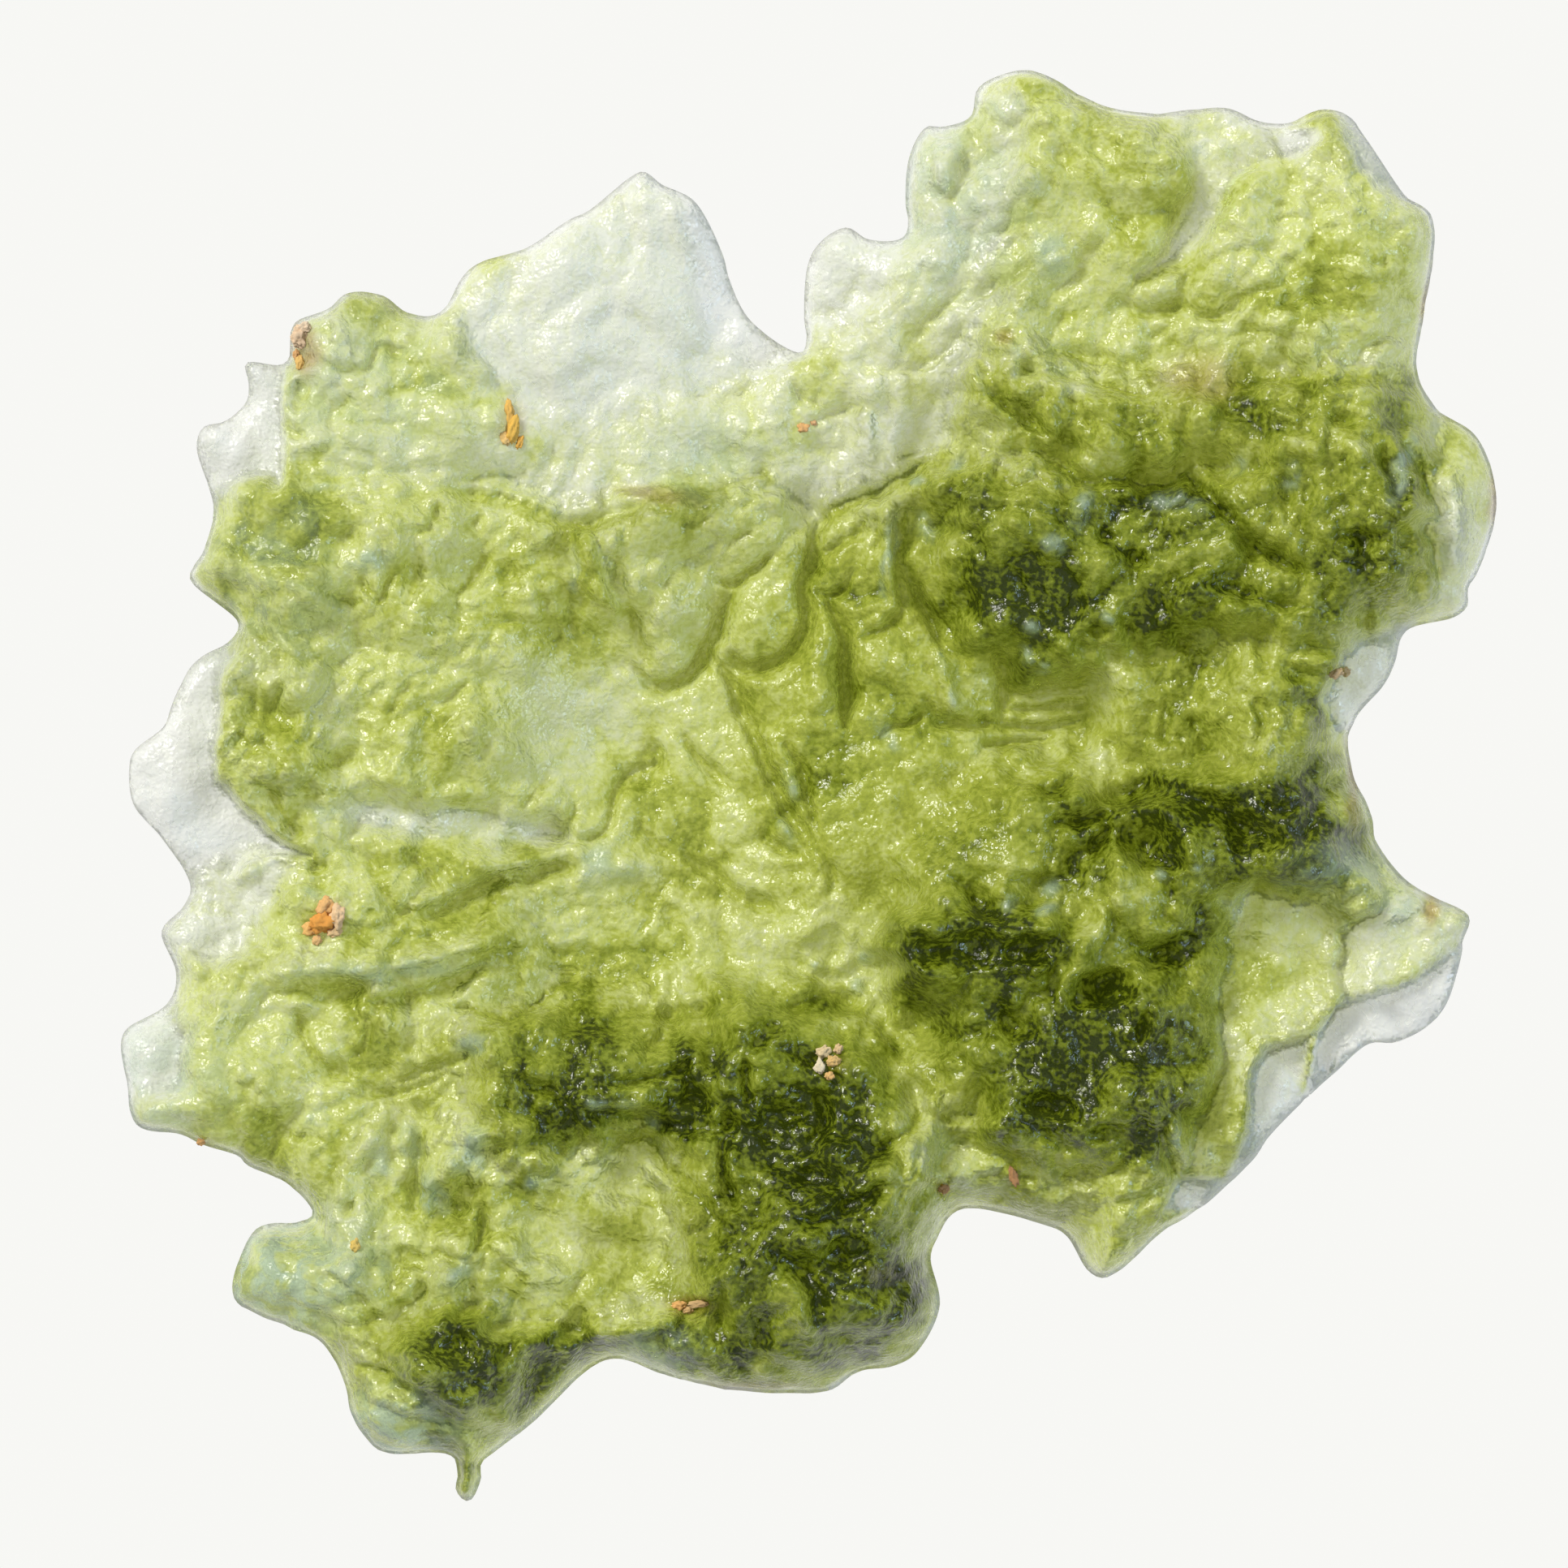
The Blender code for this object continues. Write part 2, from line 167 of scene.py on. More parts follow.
# thickness in millimetres, fade in steps, corners
ZONES = tuple(Zone(*row) for row in (
    # both pale lobes at the top with the neck between them, then their clear cores
    (1.15, 44, ((560, 330), (700, 240), (800, 180), (900, 290), (950, 420), (995, 440), (1000, 290),
        (1110, 280), (1115, 170), (1200, 90), (1262, 150), (1250, 290), (1222, 380), (1195, 470),
        (1150, 560), (1062, 600), (1000, 645), (945, 590), (840, 608), (760, 628), (700, 632),
        (620, 592), (555, 580), (548, 470))),
    (0.75, 70, ((590, 335), (700, 260), (800, 190), (880, 290), (930, 400), (960, 445), (900, 475),
        (800, 485), (700, 525), (620, 500), (570, 420))),
    (0.42, 26, ((850, 225), (930, 390), (1000, 435), (940, 448), (880, 412), (850, 330))),
    (0.70, 40, ((990, 300), (1045, 265), (1110, 290), (1100, 350), (1060, 400), (990, 400))),
    # left shoulder, and the clear pane that breaks off along a straight edge beside it
    (1.60, 60, ((350, 380), (430, 330), (540, 370), (600, 480), (580, 585), (350, 600))),
    (0.45, 12, ((220, 510), (300, 430), (350, 430), (350, 600), (300, 640), (230, 660))),
    # left margin
    (2.30, 44, ((230, 620), (330, 600), (410, 640), (400, 720), (310, 790), (300, 850), (230, 700))),
    (1.45, 110, ((640, 800), (760, 800), (800, 900), (760, 960), (640, 960))),
    (1.05, 36, ((420, 990), (540, 985), (680, 1010), (700, 1040), (560, 1045), (430, 1020))),
    (2.60, 40, ((330, 800), (380, 810), (380, 950), (300, 940), (285, 910))),
    # clear tab on the left and the pale strip under it
    (0.40, 16, ((140, 900), (215, 850), (250, 790), (285, 800), (272, 850), (272, 900), (262, 930),
        (270, 960), (300, 988), (340, 1030), (378, 1050), (300, 1062), (250, 1110), (190, 1050),
        (140, 990))),
    (1.00, 50, ((190, 1130), (250, 1070), (370, 1070), (320, 1150), (280, 1190), (190, 1250))),
    # lower left lobes
    (2.10, 50, ((130, 1240), (250, 1190), (350, 1250), (380, 1330), (300, 1380), (270, 1450),
        (140, 1400))),
    (0.70, 40, ((130, 1240), (210, 1240), (235, 1330), (200, 1360), (130, 1330))),
    (2.20, 36, ((270, 1500), (400, 1500), (432, 1600), (440, 1650), (400, 1700), (270, 1640))),
    # foot with its dark heart
    (2.50, 40, ((400, 1660), (470, 1690), (500, 1735), (640, 1745), (640, 1800), (560, 1870),
        (440, 1810))),
    (5.60, 46, ((500, 1640), (620, 1620), (680, 1640), (640, 1700), (560, 1735), (500, 1700))),
    # centre, and the thick body on its right
    (3.15, 170, ((960, 740), (1180, 640), (1200, 900), (1180, 1060), (1000, 1100), (940, 900))),
    (3.80, 60, ((1200, 470), (1400, 500), (1560, 490), (1720, 460), (1760, 520), (1560, 560),
        (1300, 560))),
    (4.85, 70, ((1170, 600), (1320, 590), (1480, 600), (1600, 540), (1720, 560), (1745, 660),
        (1690, 760), (1480, 785), (1380, 800), (1240, 810), (1180, 720))),
    (3.40, 60, ((1380, 810), (1500, 790), (1640, 800), (1660, 930), (1520, 950), (1380, 930))),
    (4.60, 90, ((1240, 960), (1400, 970), (1620, 960), (1680, 1060), (1640, 1110), (1500, 1120),
        (1480, 1350), (1440, 1430), (1280, 1440), (1130, 1280), (1110, 1130))),
    (6.10, 60, ((1100, 1130), (1300, 1130), (1310, 1190), (1200, 1215), (1110, 1190))),
    (5.60, 70, ((1230, 1290), (1300, 1230), (1420, 1210), (1440, 1330), (1360, 1410), (1240, 1390))),
    (5.40, 60, ((1440, 960), (1640, 990), (1640, 1090), (1500, 1090), (1440, 1060))),
    # south side, with a pale facet between two dark bands
    (5.10, 100, ((880, 1240), (1080, 1290), (1120, 1420), (1110, 1600), (1060, 1690), (900, 1680),
        (860, 1400))),
    (6.10, 70, ((920, 1500), (1080, 1480), (1120, 1560), (1100, 1650), (1000, 1690), (900, 1650))),
    (4.70, 60, ((610, 1270), (700, 1250), (860, 1300), (890, 1400), (760, 1385), (700, 1420),
        (610, 1400))),
    (2.00, 30, ((640, 1520), (720, 1400), (790, 1430), (838, 1490), (850, 1560), (800, 1630),
        (700, 1638), (600, 1640))),
    (4.80, 30, ((640, 1650), (700, 1650), (860, 1630), (900, 1690), (840, 1720), (700, 1720),
        (620, 1760))),
    # pale lower right margin
    (1.75, 40, ((1515, 1110), (1560, 1090), (1650, 1130), (1640, 1240), (1560, 1300), (1520, 1420),
        (1450, 1500), (1440, 1440), (1490, 1340), (1500, 1210))),
    (2.75, 40, ((1160, 1440), (1300, 1440), (1430, 1450), (1450, 1520), (1370, 1600), (1160, 1510))),
    (1.20, 20, ((1655, 1150), (1700, 1110), (1760, 1080), (1830, 1120), (1800, 1190), (1650, 1240))),
    (0.62, 10, ((1545, 1320), (1560, 1292), (1615, 1272), (1605, 1370), (1580, 1420), (1520, 1480),
        (1430, 1500), (1450, 1456), (1510, 1452), (1535, 1400))),
    (0.36, 8, ((1810, 1165), (1790, 1172), (1750, 1203), (1700, 1222), (1645, 1242), (1625, 1275),
        (1610, 1345), (1600, 1390), (1700, 1310), (1800, 1300), (1840, 1200))),
    # right point and the shelf under it
    (1.35, 50, ((1765, 500), (1860, 520), (1870, 680), (1830, 760), (1760, 790), (1750, 640))),
    (0.80, 16, ((1652, 806), (1690, 782), (1740, 770), (1740, 830), (1690, 880), (1640, 920),
        (1630, 860))),
    # upper right lobe with its pale streak, its oval lens and its thin corner
    (2.00, 70, ((1290, 130), (1480, 130), (1760, 240), (1780, 420), (1600, 460), (1300, 420))),
    (0.95, 20, ((1488, 130), (1560, 140), (1535, 215), (1500, 270), (1480, 300), (1400, 345),
        (1430, 310), (1460, 240))),
    (1.00, 40, ((1440, 120), (1560, 120), (1600, 180), (1540, 200), (1440, 170))),
    (0.60, 10, ((1570, 178), (1590, 158), (1628, 156), (1630, 172), (1600, 194), (1580, 196))),
    (0.60, 24, ((1645, 120), (1690, 130), (1740, 240), (1700, 232), (1655, 175))),
    # olive facet that drops between the pale lobe and the left body
    (3.10, 10, ((703, 650), (728, 652), (740, 702), (758, 752), (728, 736), (712, 712))),
))

# height in millimetres, half width in steps, path, lean
CRESTS = tuple(Crest(*row) for row in (
    # crease under the pale lobes
    (-0.55, 15, ((545, 600), (600, 608), (650, 624), (700, 640), (745, 636), (790, 622)), -0.4),
    (-0.30, 8, ((560, 592), (600, 583), (645, 580))),
    (-0.30, 9, ((790, 622), (840, 606), (900, 592), (955, 573))),
    (-0.40, 6, ((803, 625), (816, 628), (830, 625))),
    (-0.80, 15, ((1160, 560), (1110, 585), (1060, 606), (1028, 628), (1002, 652)), 0.4),
    # faint rings and arcs in the upper left lobe
    (-0.13, 6, ((735, 295), (742, 312), (757, 320), (775, 312), (783, 297))),
    (-0.11, 8, ((705, 432), (716, 441), (733, 446), (750, 441), (758, 424))),
    (-0.12, 7, ((770, 375), (785, 393), (795, 410))),
    (-0.15, 7, ((848, 432), (885, 434), (925, 426))),
    (-0.12, 7, ((805, 440), (815, 465), (825, 487))),
    (-0.16, 8, ((600, 343), (618, 334), (640, 330))),
    (-0.14, 7, ((580, 345), (575, 375), (581, 396))),
    (-0.14, 7, ((835, 490), (845, 505), (858, 505))),
    (-0.14, 7, ((915, 530), (932, 533), (950, 524))),
    (-0.15, 7, ((690, 528), (700, 525), (716, 522))),
    (-0.18, 7, ((783, 552), (787, 530))),
    (-0.18, 8, ((783, 503), (791, 490), (801, 500))),
    (-0.35, 8, ((855, 488), (870, 481), (890, 470))),
    (-0.28, 7, ((893, 485), (910, 487), (930, 470))),
    (-0.35, 7, ((976, 470), (990, 486), (1001, 495), (1010, 482))),
    (-0.28, 7, ((900, 672), (912, 660), (932, 650))),
    (-0.25, 7, ((1036, 583), (1038, 602))),
    (-0.14, 7, ((935, 446), (960, 443), (985, 451))),
    # folds of the neck
    (0.24, 11, ((1112, 470), (1108, 530), (1090, 578))),
    (0.18, 10, ((1068, 500), (1066, 540), (1040, 580))),
    (-0.30, 8, ((1000, 520), (1025, 508), (1078, 493))),
    (-0.22, 8, ((1002, 385), (1030, 381), (1047, 372), (1060, 340), (1064, 318))),
    (-0.18, 7, ((1058, 300), (1075, 311), (1092, 303))),
    (-0.25, 8, ((1080, 358), (1090, 349))),
    (-0.22, 7, ((1072, 385), (1093, 388))),
    (-0.22, 8, ((1085, 458), (1130, 450), (1165, 432), (1188, 400))),
    (-0.25, 8, ((1012, 436), (1026, 462))),
    (-0.28, 8, ((1138, 384), (1150, 389), (1165, 373))),
    (-0.30, 8, ((1143, 228), (1165, 243), (1186, 218), (1196, 196))),
    (-0.25, 8, ((1150, 168), (1145, 200), (1152, 224))),
    (-0.32, 8, ((1252, 98), (1266, 113), (1290, 119), (1328, 125))),
    (-0.25, 9, ((1203, 150), (1207, 180), (1228, 202))),
    (-0.25, 8, ((1222, 150), (1243, 162), (1262, 150), (1272, 120))),
    (-0.28, 8, ((1250, 186), (1266, 196), (1286, 216))),
    (-0.22, 8, ((1215, 285), (1240, 280), (1252, 250))),
    (-0.45, 11, ((1192, 376), (1225, 352), (1252, 340), (1270, 326)), 0.4),
    # upper right lobe with its swirl
    (-0.22, 7, ((1343, 239), (1362, 251), (1390, 279))),
    (-0.42, 11, ((1398, 350), (1440, 333), (1484, 305))),
    (-0.55, 12, ((1380, 372), (1398, 384), (1425, 384), (1450, 374), (1462, 345), (1480, 320))),
    (-0.38, 9, ((1465, 347), (1485, 330), (1505, 321))),
    (-0.42, 10, ((1456, 378), (1482, 389), (1508, 384), (1535, 367), (1574, 357))),
    (-0.26, 8, ((1508, 317), (1530, 313), (1552, 311))),
    (-0.24, 8, ((1416, 411), (1448, 403))),
    (-0.28, 8, ((1612, 303), (1630, 313), (1648, 322))),
    (-0.32, 10, ((1497, 270), (1518, 246), (1538, 228))),
    (-0.30, 9, ((1513, 423), (1532, 410), (1574, 416))),
    (-0.24, 8, ((1688, 188), (1704, 220), (1714, 246), (1734, 240))),
    (-0.28, 9, ((1697, 305), (1701, 334))),
    (-0.55, 14, ((1303, 434), (1345, 440), (1388, 448))),
    (-0.30, 7, ((1316, 466), (1360, 475), (1406, 487))),
    # dark bands and striae of the right body
    (-0.75, 16, ((1210, 458), (1228, 488), (1255, 508), (1302, 548)), 0.3),
    (-0.80, 14, ((1276, 548), (1300, 574), (1335, 592), (1400, 596), (1464, 603)), 0.3),
    (-0.75, 12, ((1452, 586), (1485, 612), (1515, 645), (1545, 672), (1594, 704)), 0.3),
    (-0.45, 13, ((1636, 478), (1700, 470), (1745, 482))),
    (-0.50, 14, ((1636, 522), (1690, 524), (1744, 520))),
    (-0.40, 9, ((1640, 660), (1700, 668), (1760, 690))),
    (-0.35, 8, ((1640, 690), (1700, 700), (1752, 712))),
    (-0.35, 9, ((1480, 720), (1540, 736), (1620, 752))),
    (-0.40, 10, ((1425, 735), (1444, 775), (1466, 805))),
    (-0.35, 9, ((1360, 660), (1400, 690), (1430, 700))),
    # white slivers at the right point
    (0.60, 9, ((1694, 520), (1712, 548), (1727, 580), (1736, 612), (1750, 646))),
    (-0.80, 12, ((1698, 556), (1708, 595), (1718, 632))),
    (-0.65, 9, ((1720, 546), (1742, 572), (1758, 616))),
    (0.45, 15, ((1764, 554), (1788, 600), (1792, 680), (1806, 726))),
    (-0.30, 9, ((1760, 655), (1770, 700), (1762, 740))),
    # fan under them
    (-0.30, 8, ((1402, 938), (1412, 900), (1424, 866))),
    (-0.30, 8, ((1432, 932), (1436, 895), (1436, 862))),
    (-0.32, 8, ((1486, 928), (1478, 900), (1462, 868))),
    (-0.34, 9, ((1538, 944), (1553, 902), (1546, 866))),
    (-0.30, 9, ((1600, 900), (1640, 890), (1650, 868))),
    (-0.28, 9, ((1575, 860), (1590, 880))),
    # finger lobes and their grooves
    (-0.65, 9, ((948, 683), (925, 702), (905, 718), (884, 716))),
    (-1.00, 14, ((898, 736), (884, 760), (872, 790), (856, 815), (835, 832), (806, 838), (790, 824)),
        0.5),
    (-1.00, 15, ((1001, 654), (996, 690), (982, 725), (989, 760), (975, 792), (950, 812), (918, 818),
        (902, 804)), 0.5),
    (-1.20, 13, ((1020, 742), (1032, 772), (1040, 810), (1043, 893)), 0.4),
    (-0.50, 9, ((1002, 721), (1020, 731), (1042, 723), (1054, 704))),
    (-0.45, 9, ((1002, 685), (1030, 672), (1055, 656), (1068, 638))),
    (0.65, 9, ((1095, 608), (1097, 660), (1100, 700), (1105, 744))),
    (-0.55, 8, ((1110, 622), (1107, 690), (1112, 748))),
    (-0.90, 12, ((1112, 698), (1130, 730), (1146, 760), (1160, 798)), 0.4),
    (-0.55, 9, ((1056, 783), (1085, 772), (1104, 757), (1110, 738))),
    (-0.75, 12, ((1146, 647), (1180, 652), (1200, 664), (1208, 684))),
    (0.50, 8, ((1156, 798), (1160, 832), (1172, 846), (1179, 880))),
    (-0.90, 13, ((1140, 862), (1152, 886), (1180, 890), (1212, 888))),
    (-0.65, 9, ((1082, 908), (1100, 892), (1122, 892), (1144, 870))),
    (-0.70, 14, ((1226, 796), (1240, 840), (1236, 884))),
    (-0.45, 7, ((1236, 848), (1290, 852), (1344, 846))),
    (-0.50, 8, ((1240, 871), (1290, 872), (1344, 867))),
    (-0.65, 9, ((1236, 892), (1290, 896), (1334, 888))),
    (-0.55, 8, ((1212, 918), (1260, 914), (1304, 906))),
    (-0.30, 8, ((1255, 700), (1262, 740))),
    # valley that runs on from the fingers
    (-0.80, 14, ((886, 820), (905, 850), (907, 875), (925, 905), (945, 945), (960, 985), (982, 1020),
        (1002, 1050)), 0.3),
    (-0.55, 9, ((970, 918), (988, 950), (998, 985), (1008, 1024))),
    (-0.60, 10, ((940, 1036), (960, 1047), (982, 1050))),
    (-0.50, 11, ((841, 906), (858, 928), (875, 948), (897, 970))),
    (-0.55, 10, ((788, 932), (806, 922), (802, 940), (775, 950), (760, 972), (752, 1000), (740, 1025),
        (712, 1037))),
    (-0.38, 9, ((752, 977), (785, 960), (802, 965))),
    (-0.38, 9, ((674, 958), (655, 978), (640, 997))),
    (-0.32, 8, ((703, 983), (697, 1010), (690, 1026))),
    (-0.45, 10, ((786, 1018), (802, 1036), (824, 1054))),
    (-0.60, 14, ((845, 1058), (880, 1082), (905, 1106), (932, 1124)), 0.4),
    (-0.35, 9, ((1010, 1050), (1026, 1080), (1024, 1110))),
    (0.30, 9, ((708, 676), (706, 738))),
    (-0.40, 12, ((664, 720), (670, 752), (690, 804))),
    (-0.28, 8, ((699, 742), (704, 780), (720, 798))),
    (-0.28, 8, ((779, 752), (788, 785), (797, 818))),
    # left body
    (-0.45, 8, ((602, 682), (590, 700), (578, 717), (556, 732))),
    (-0.42, 8, ((543, 620), (531, 640), (527, 652), (505, 652))),
    (-0.40, 9, ((349, 709), (372, 713), (392, 726), (420, 738), (448, 743))),
    (-0.38, 8, ((450, 713), (468, 737), (480, 716), (493, 705))),
    (-0.45, 8, ((398, 451), (430, 457), (450, 455), (460, 440), (468, 427), (504, 430))),
    (-0.30, 8, ((352, 506), (358, 530), (378, 539))),
    (-0.32, 8, ((305, 746), (303, 763), (318, 775), (329, 792))),
    (-0.28, 10, ((336, 804), (370, 815), (398, 806))),
    (-0.42, 10, ((350, 836), (340, 868), (331, 900))),
    (-0.30, 8, ((371, 882), (363, 904))),
    (-0.30, 8, ((388, 886), (379, 914))),
    (-0.20, 8, ((250, 668), (282, 670), (306, 648))),
    (-0.20, 8, ((298, 608), (322, 594))),
    (0.30, 12, ((502, 898), (490, 940), (473, 968))),
    (0.28, 18, ((415, 998), (500, 1006), (600, 1018), (665, 1030))),
    (-0.30, 8, ((590, 830), (600, 880), (594, 940))),
    # crack at the root of the left tab
    (-0.45, 9, ((320, 966), (340, 983), (353, 1005))),
    (-0.35, 9, ((358, 1016), (376, 1027))),
    (-0.50, 8, ((375, 1044), (388, 1064))),
    # long furrow and the white ridge under it
    (-1.10, 18, ((498, 1121), (535, 1120), (570, 1106), (620, 1080), (695, 1068)), -0.4),
    (-0.40, 7, ((500, 1058), (530, 1085), (548, 1104))),
    (-0.38, 7, ((530, 1056), (550, 1082), (574, 1098))),
    (0.35, 10, ((698, 1043), (715, 1060), (712, 1094))),
    (-0.25, 8, ((452, 1055), (470, 1085), (482, 1112), (486, 1142))),
    (-0.25, 8, ((438, 1125), (463, 1124))),
    (0.60, 14, ((340, 1193), (400, 1197), (460, 1193), (520, 1184), (600, 1164)), 0.5),
    (-0.85, 17, ((462, 1230), (500, 1222), (550, 1212), (596, 1190)), -0.3),
    (-0.45, 16, ((346, 1222), (400, 1226), (445, 1218))),
    (-0.45, 7, ((554, 1239), (590, 1247), (622, 1256), (650, 1246))),
    (-0.35, 9, ((308, 1144), (309, 1170))),
    (-0.22, 8, ((288, 1190), (312, 1200))),
    # scalloped lobes at the lower left
    (-0.50, 9, ((366, 1250), (378, 1285), (400, 1312), (440, 1335), (470, 1348), (510, 1346),
        (548, 1328)), 0.4),
    (-0.38, 9, ((456, 1252), (452, 1285), (434, 1300))),
    (-0.45, 9, ((604, 1290), (560, 1304), (520, 1320), (498, 1330))),
    (-0.22, 7, ((284, 1348), (288, 1375), (290, 1404))),
    (-0.32, 7, ((352, 1399), (380, 1402), (404, 1404))),
    (-0.20, 7, ((288, 1346), (310, 1335), (334, 1318))),
    (-0.70, 13, ((520, 1396), (513, 1440), (510, 1488))),
    (0.50, 14, ((466, 1396), (478, 1450), (502, 1484))),
    (0.60, 16, ((588, 1394), (555, 1440), (520, 1474))),
    (0.35, 11, ((503, 1385), (495, 1424))),
    (0.45, 10, ((604, 1526), (565, 1568), (552, 1600))),
    (-0.70, 10, ((596, 1480), (592, 1520), (580, 1550))),
    (-0.65, 12, ((446, 1681), (490, 1692), (530, 1712), (574, 1740)), -0.3),
    (-1.00, 26, ((716, 1626), (690, 1670), (636, 1726))),
    # south side
    (0.40, 10, ((795, 1436), (830, 1462), (845, 1500), (850, 1566)), -0.5),
    (-0.60, 14, ((696, 1646), (770, 1652), (840, 1628), (872, 1600)), -0.3),
    (-0.80, 10, ((916, 1306), (922, 1340), (929, 1368))),
    (-0.80, 10, ((888, 1406), (895, 1450), (907, 1484))),
    (-0.70, 12, ((1008, 1346), (1015, 1380), (1003, 1414))),
    (0.50, 11, ((1032, 1336), (1036, 1380), (1018, 1404))),
    (0.50, 11, ((924, 1346), (931, 1404))),
    (0.50, 15, ((955, 1444), (1010, 1425), (1066, 1396))),
    (0.45, 14, ((980, 1494), (1040, 1462), (1094, 1438))),
    (-0.65, 15, ((996, 1504), (1050, 1482), (1104, 1450))),
    (-0.60, 13, ((1066, 1424), (1116, 1394), (1134, 1366))),
    (-0.80, 16, ((716, 1364), (780, 1376), (860, 1386), (904, 1380))),
    (-0.60, 12, ((756, 1334), (810, 1326), (854, 1308))),
    (-0.60, 14, ((646, 1326), (680, 1345), (704, 1374))),
    (-0.55, 12, ((650, 1406), (700, 1409), (720, 1398))),
    (-0.35, 9, ((640, 1248), (700, 1213), (740, 1204))),
    (-0.38, 7, ((662, 1188), (700, 1200), (734, 1198))),
    (-0.50, 12, ((740, 1266), (780, 1250), (830, 1251), (905, 1232))),
    (-0.65, 16, ((955, 1536), (1000, 1580), (1012, 1646))),
    (0.55, 9, ((984, 1598), (990, 1625), (1003, 1636), (1014, 1614))),
    (-0.45, 12, ((760, 1400), (800, 1420), (845, 1470), (905, 1520)), 0.5),
    (-0.35, 9, ((700, 1600), (715, 1580), (728, 1560))),
    (-0.40, 8, ((1100, 1560), (1112, 1570), (1114, 1590))),
    # branching ridge at the lower right, the knobs on it and the ring round a pit
    (0.95, 26, ((1222, 1280), (1190, 1340), (1160, 1390), (1130, 1440), (1096, 1500)), -0.3),
    (0.65, 20, ((1106, 1312), (1150, 1320), (1190, 1300))),
    (0.80, 22, ((1184, 1268), (1240, 1230), (1296, 1213))),
    (0.90, 22, ((1306, 1232), (1335, 1180), (1365, 1130), (1380, 1080), (1384, 1026)), -0.3),
    (0.70, 15, ((1378, 1004), (1410, 995), (1450, 1020), (1463, 1055), (1450, 1084))),
    (-1.00, 20, ((1370, 986), (1420, 975), (1470, 985), (1520, 1010), (1558, 1030))),
    (-0.80, 11, ((1280, 970), (1302, 979), (1324, 956))),
    (-0.70, 12, ((1296, 1016), (1340, 1009), (1372, 1000))),
    (-0.70, 12, ((1342, 1048), (1367, 1023))),
    (-0.60, 14, ((1168, 1078), (1200, 1110), (1232, 1142)), 0.4),
    (-0.70, 20, ((1556, 1086), (1610, 1096), (1654, 1090))),
    (-0.55, 12, ((1494, 1252), (1489, 1290), (1462, 1310))),
    (0.55, 20, ((1530, 1104), (1510, 1138), (1496, 1180), (1476, 1204)), 0.3),
    (-0.45, 9, ((1360, 1100), (1372, 1130), (1350, 1175))),
    (0.50, 16, ((1200, 1372), (1236, 1384), (1262, 1408))),
    (0.55, 9, ((1442, 1370), (1450, 1405), (1458, 1436))),
    (-0.60, 9, ((1430, 1384), (1440, 1425), (1452, 1446))),
    (-0.35, 8, ((1452, 1442), (1512, 1448))),
    (-0.45, 9, ((1650, 1120), (1670, 1137), (1697, 1127))),
    (-0.32, 8, ((1654, 1150), (1664, 1170), (1669, 1194))),
    (0.30, 14, ((1470, 1330), (1455, 1350), (1450, 1368))),
))

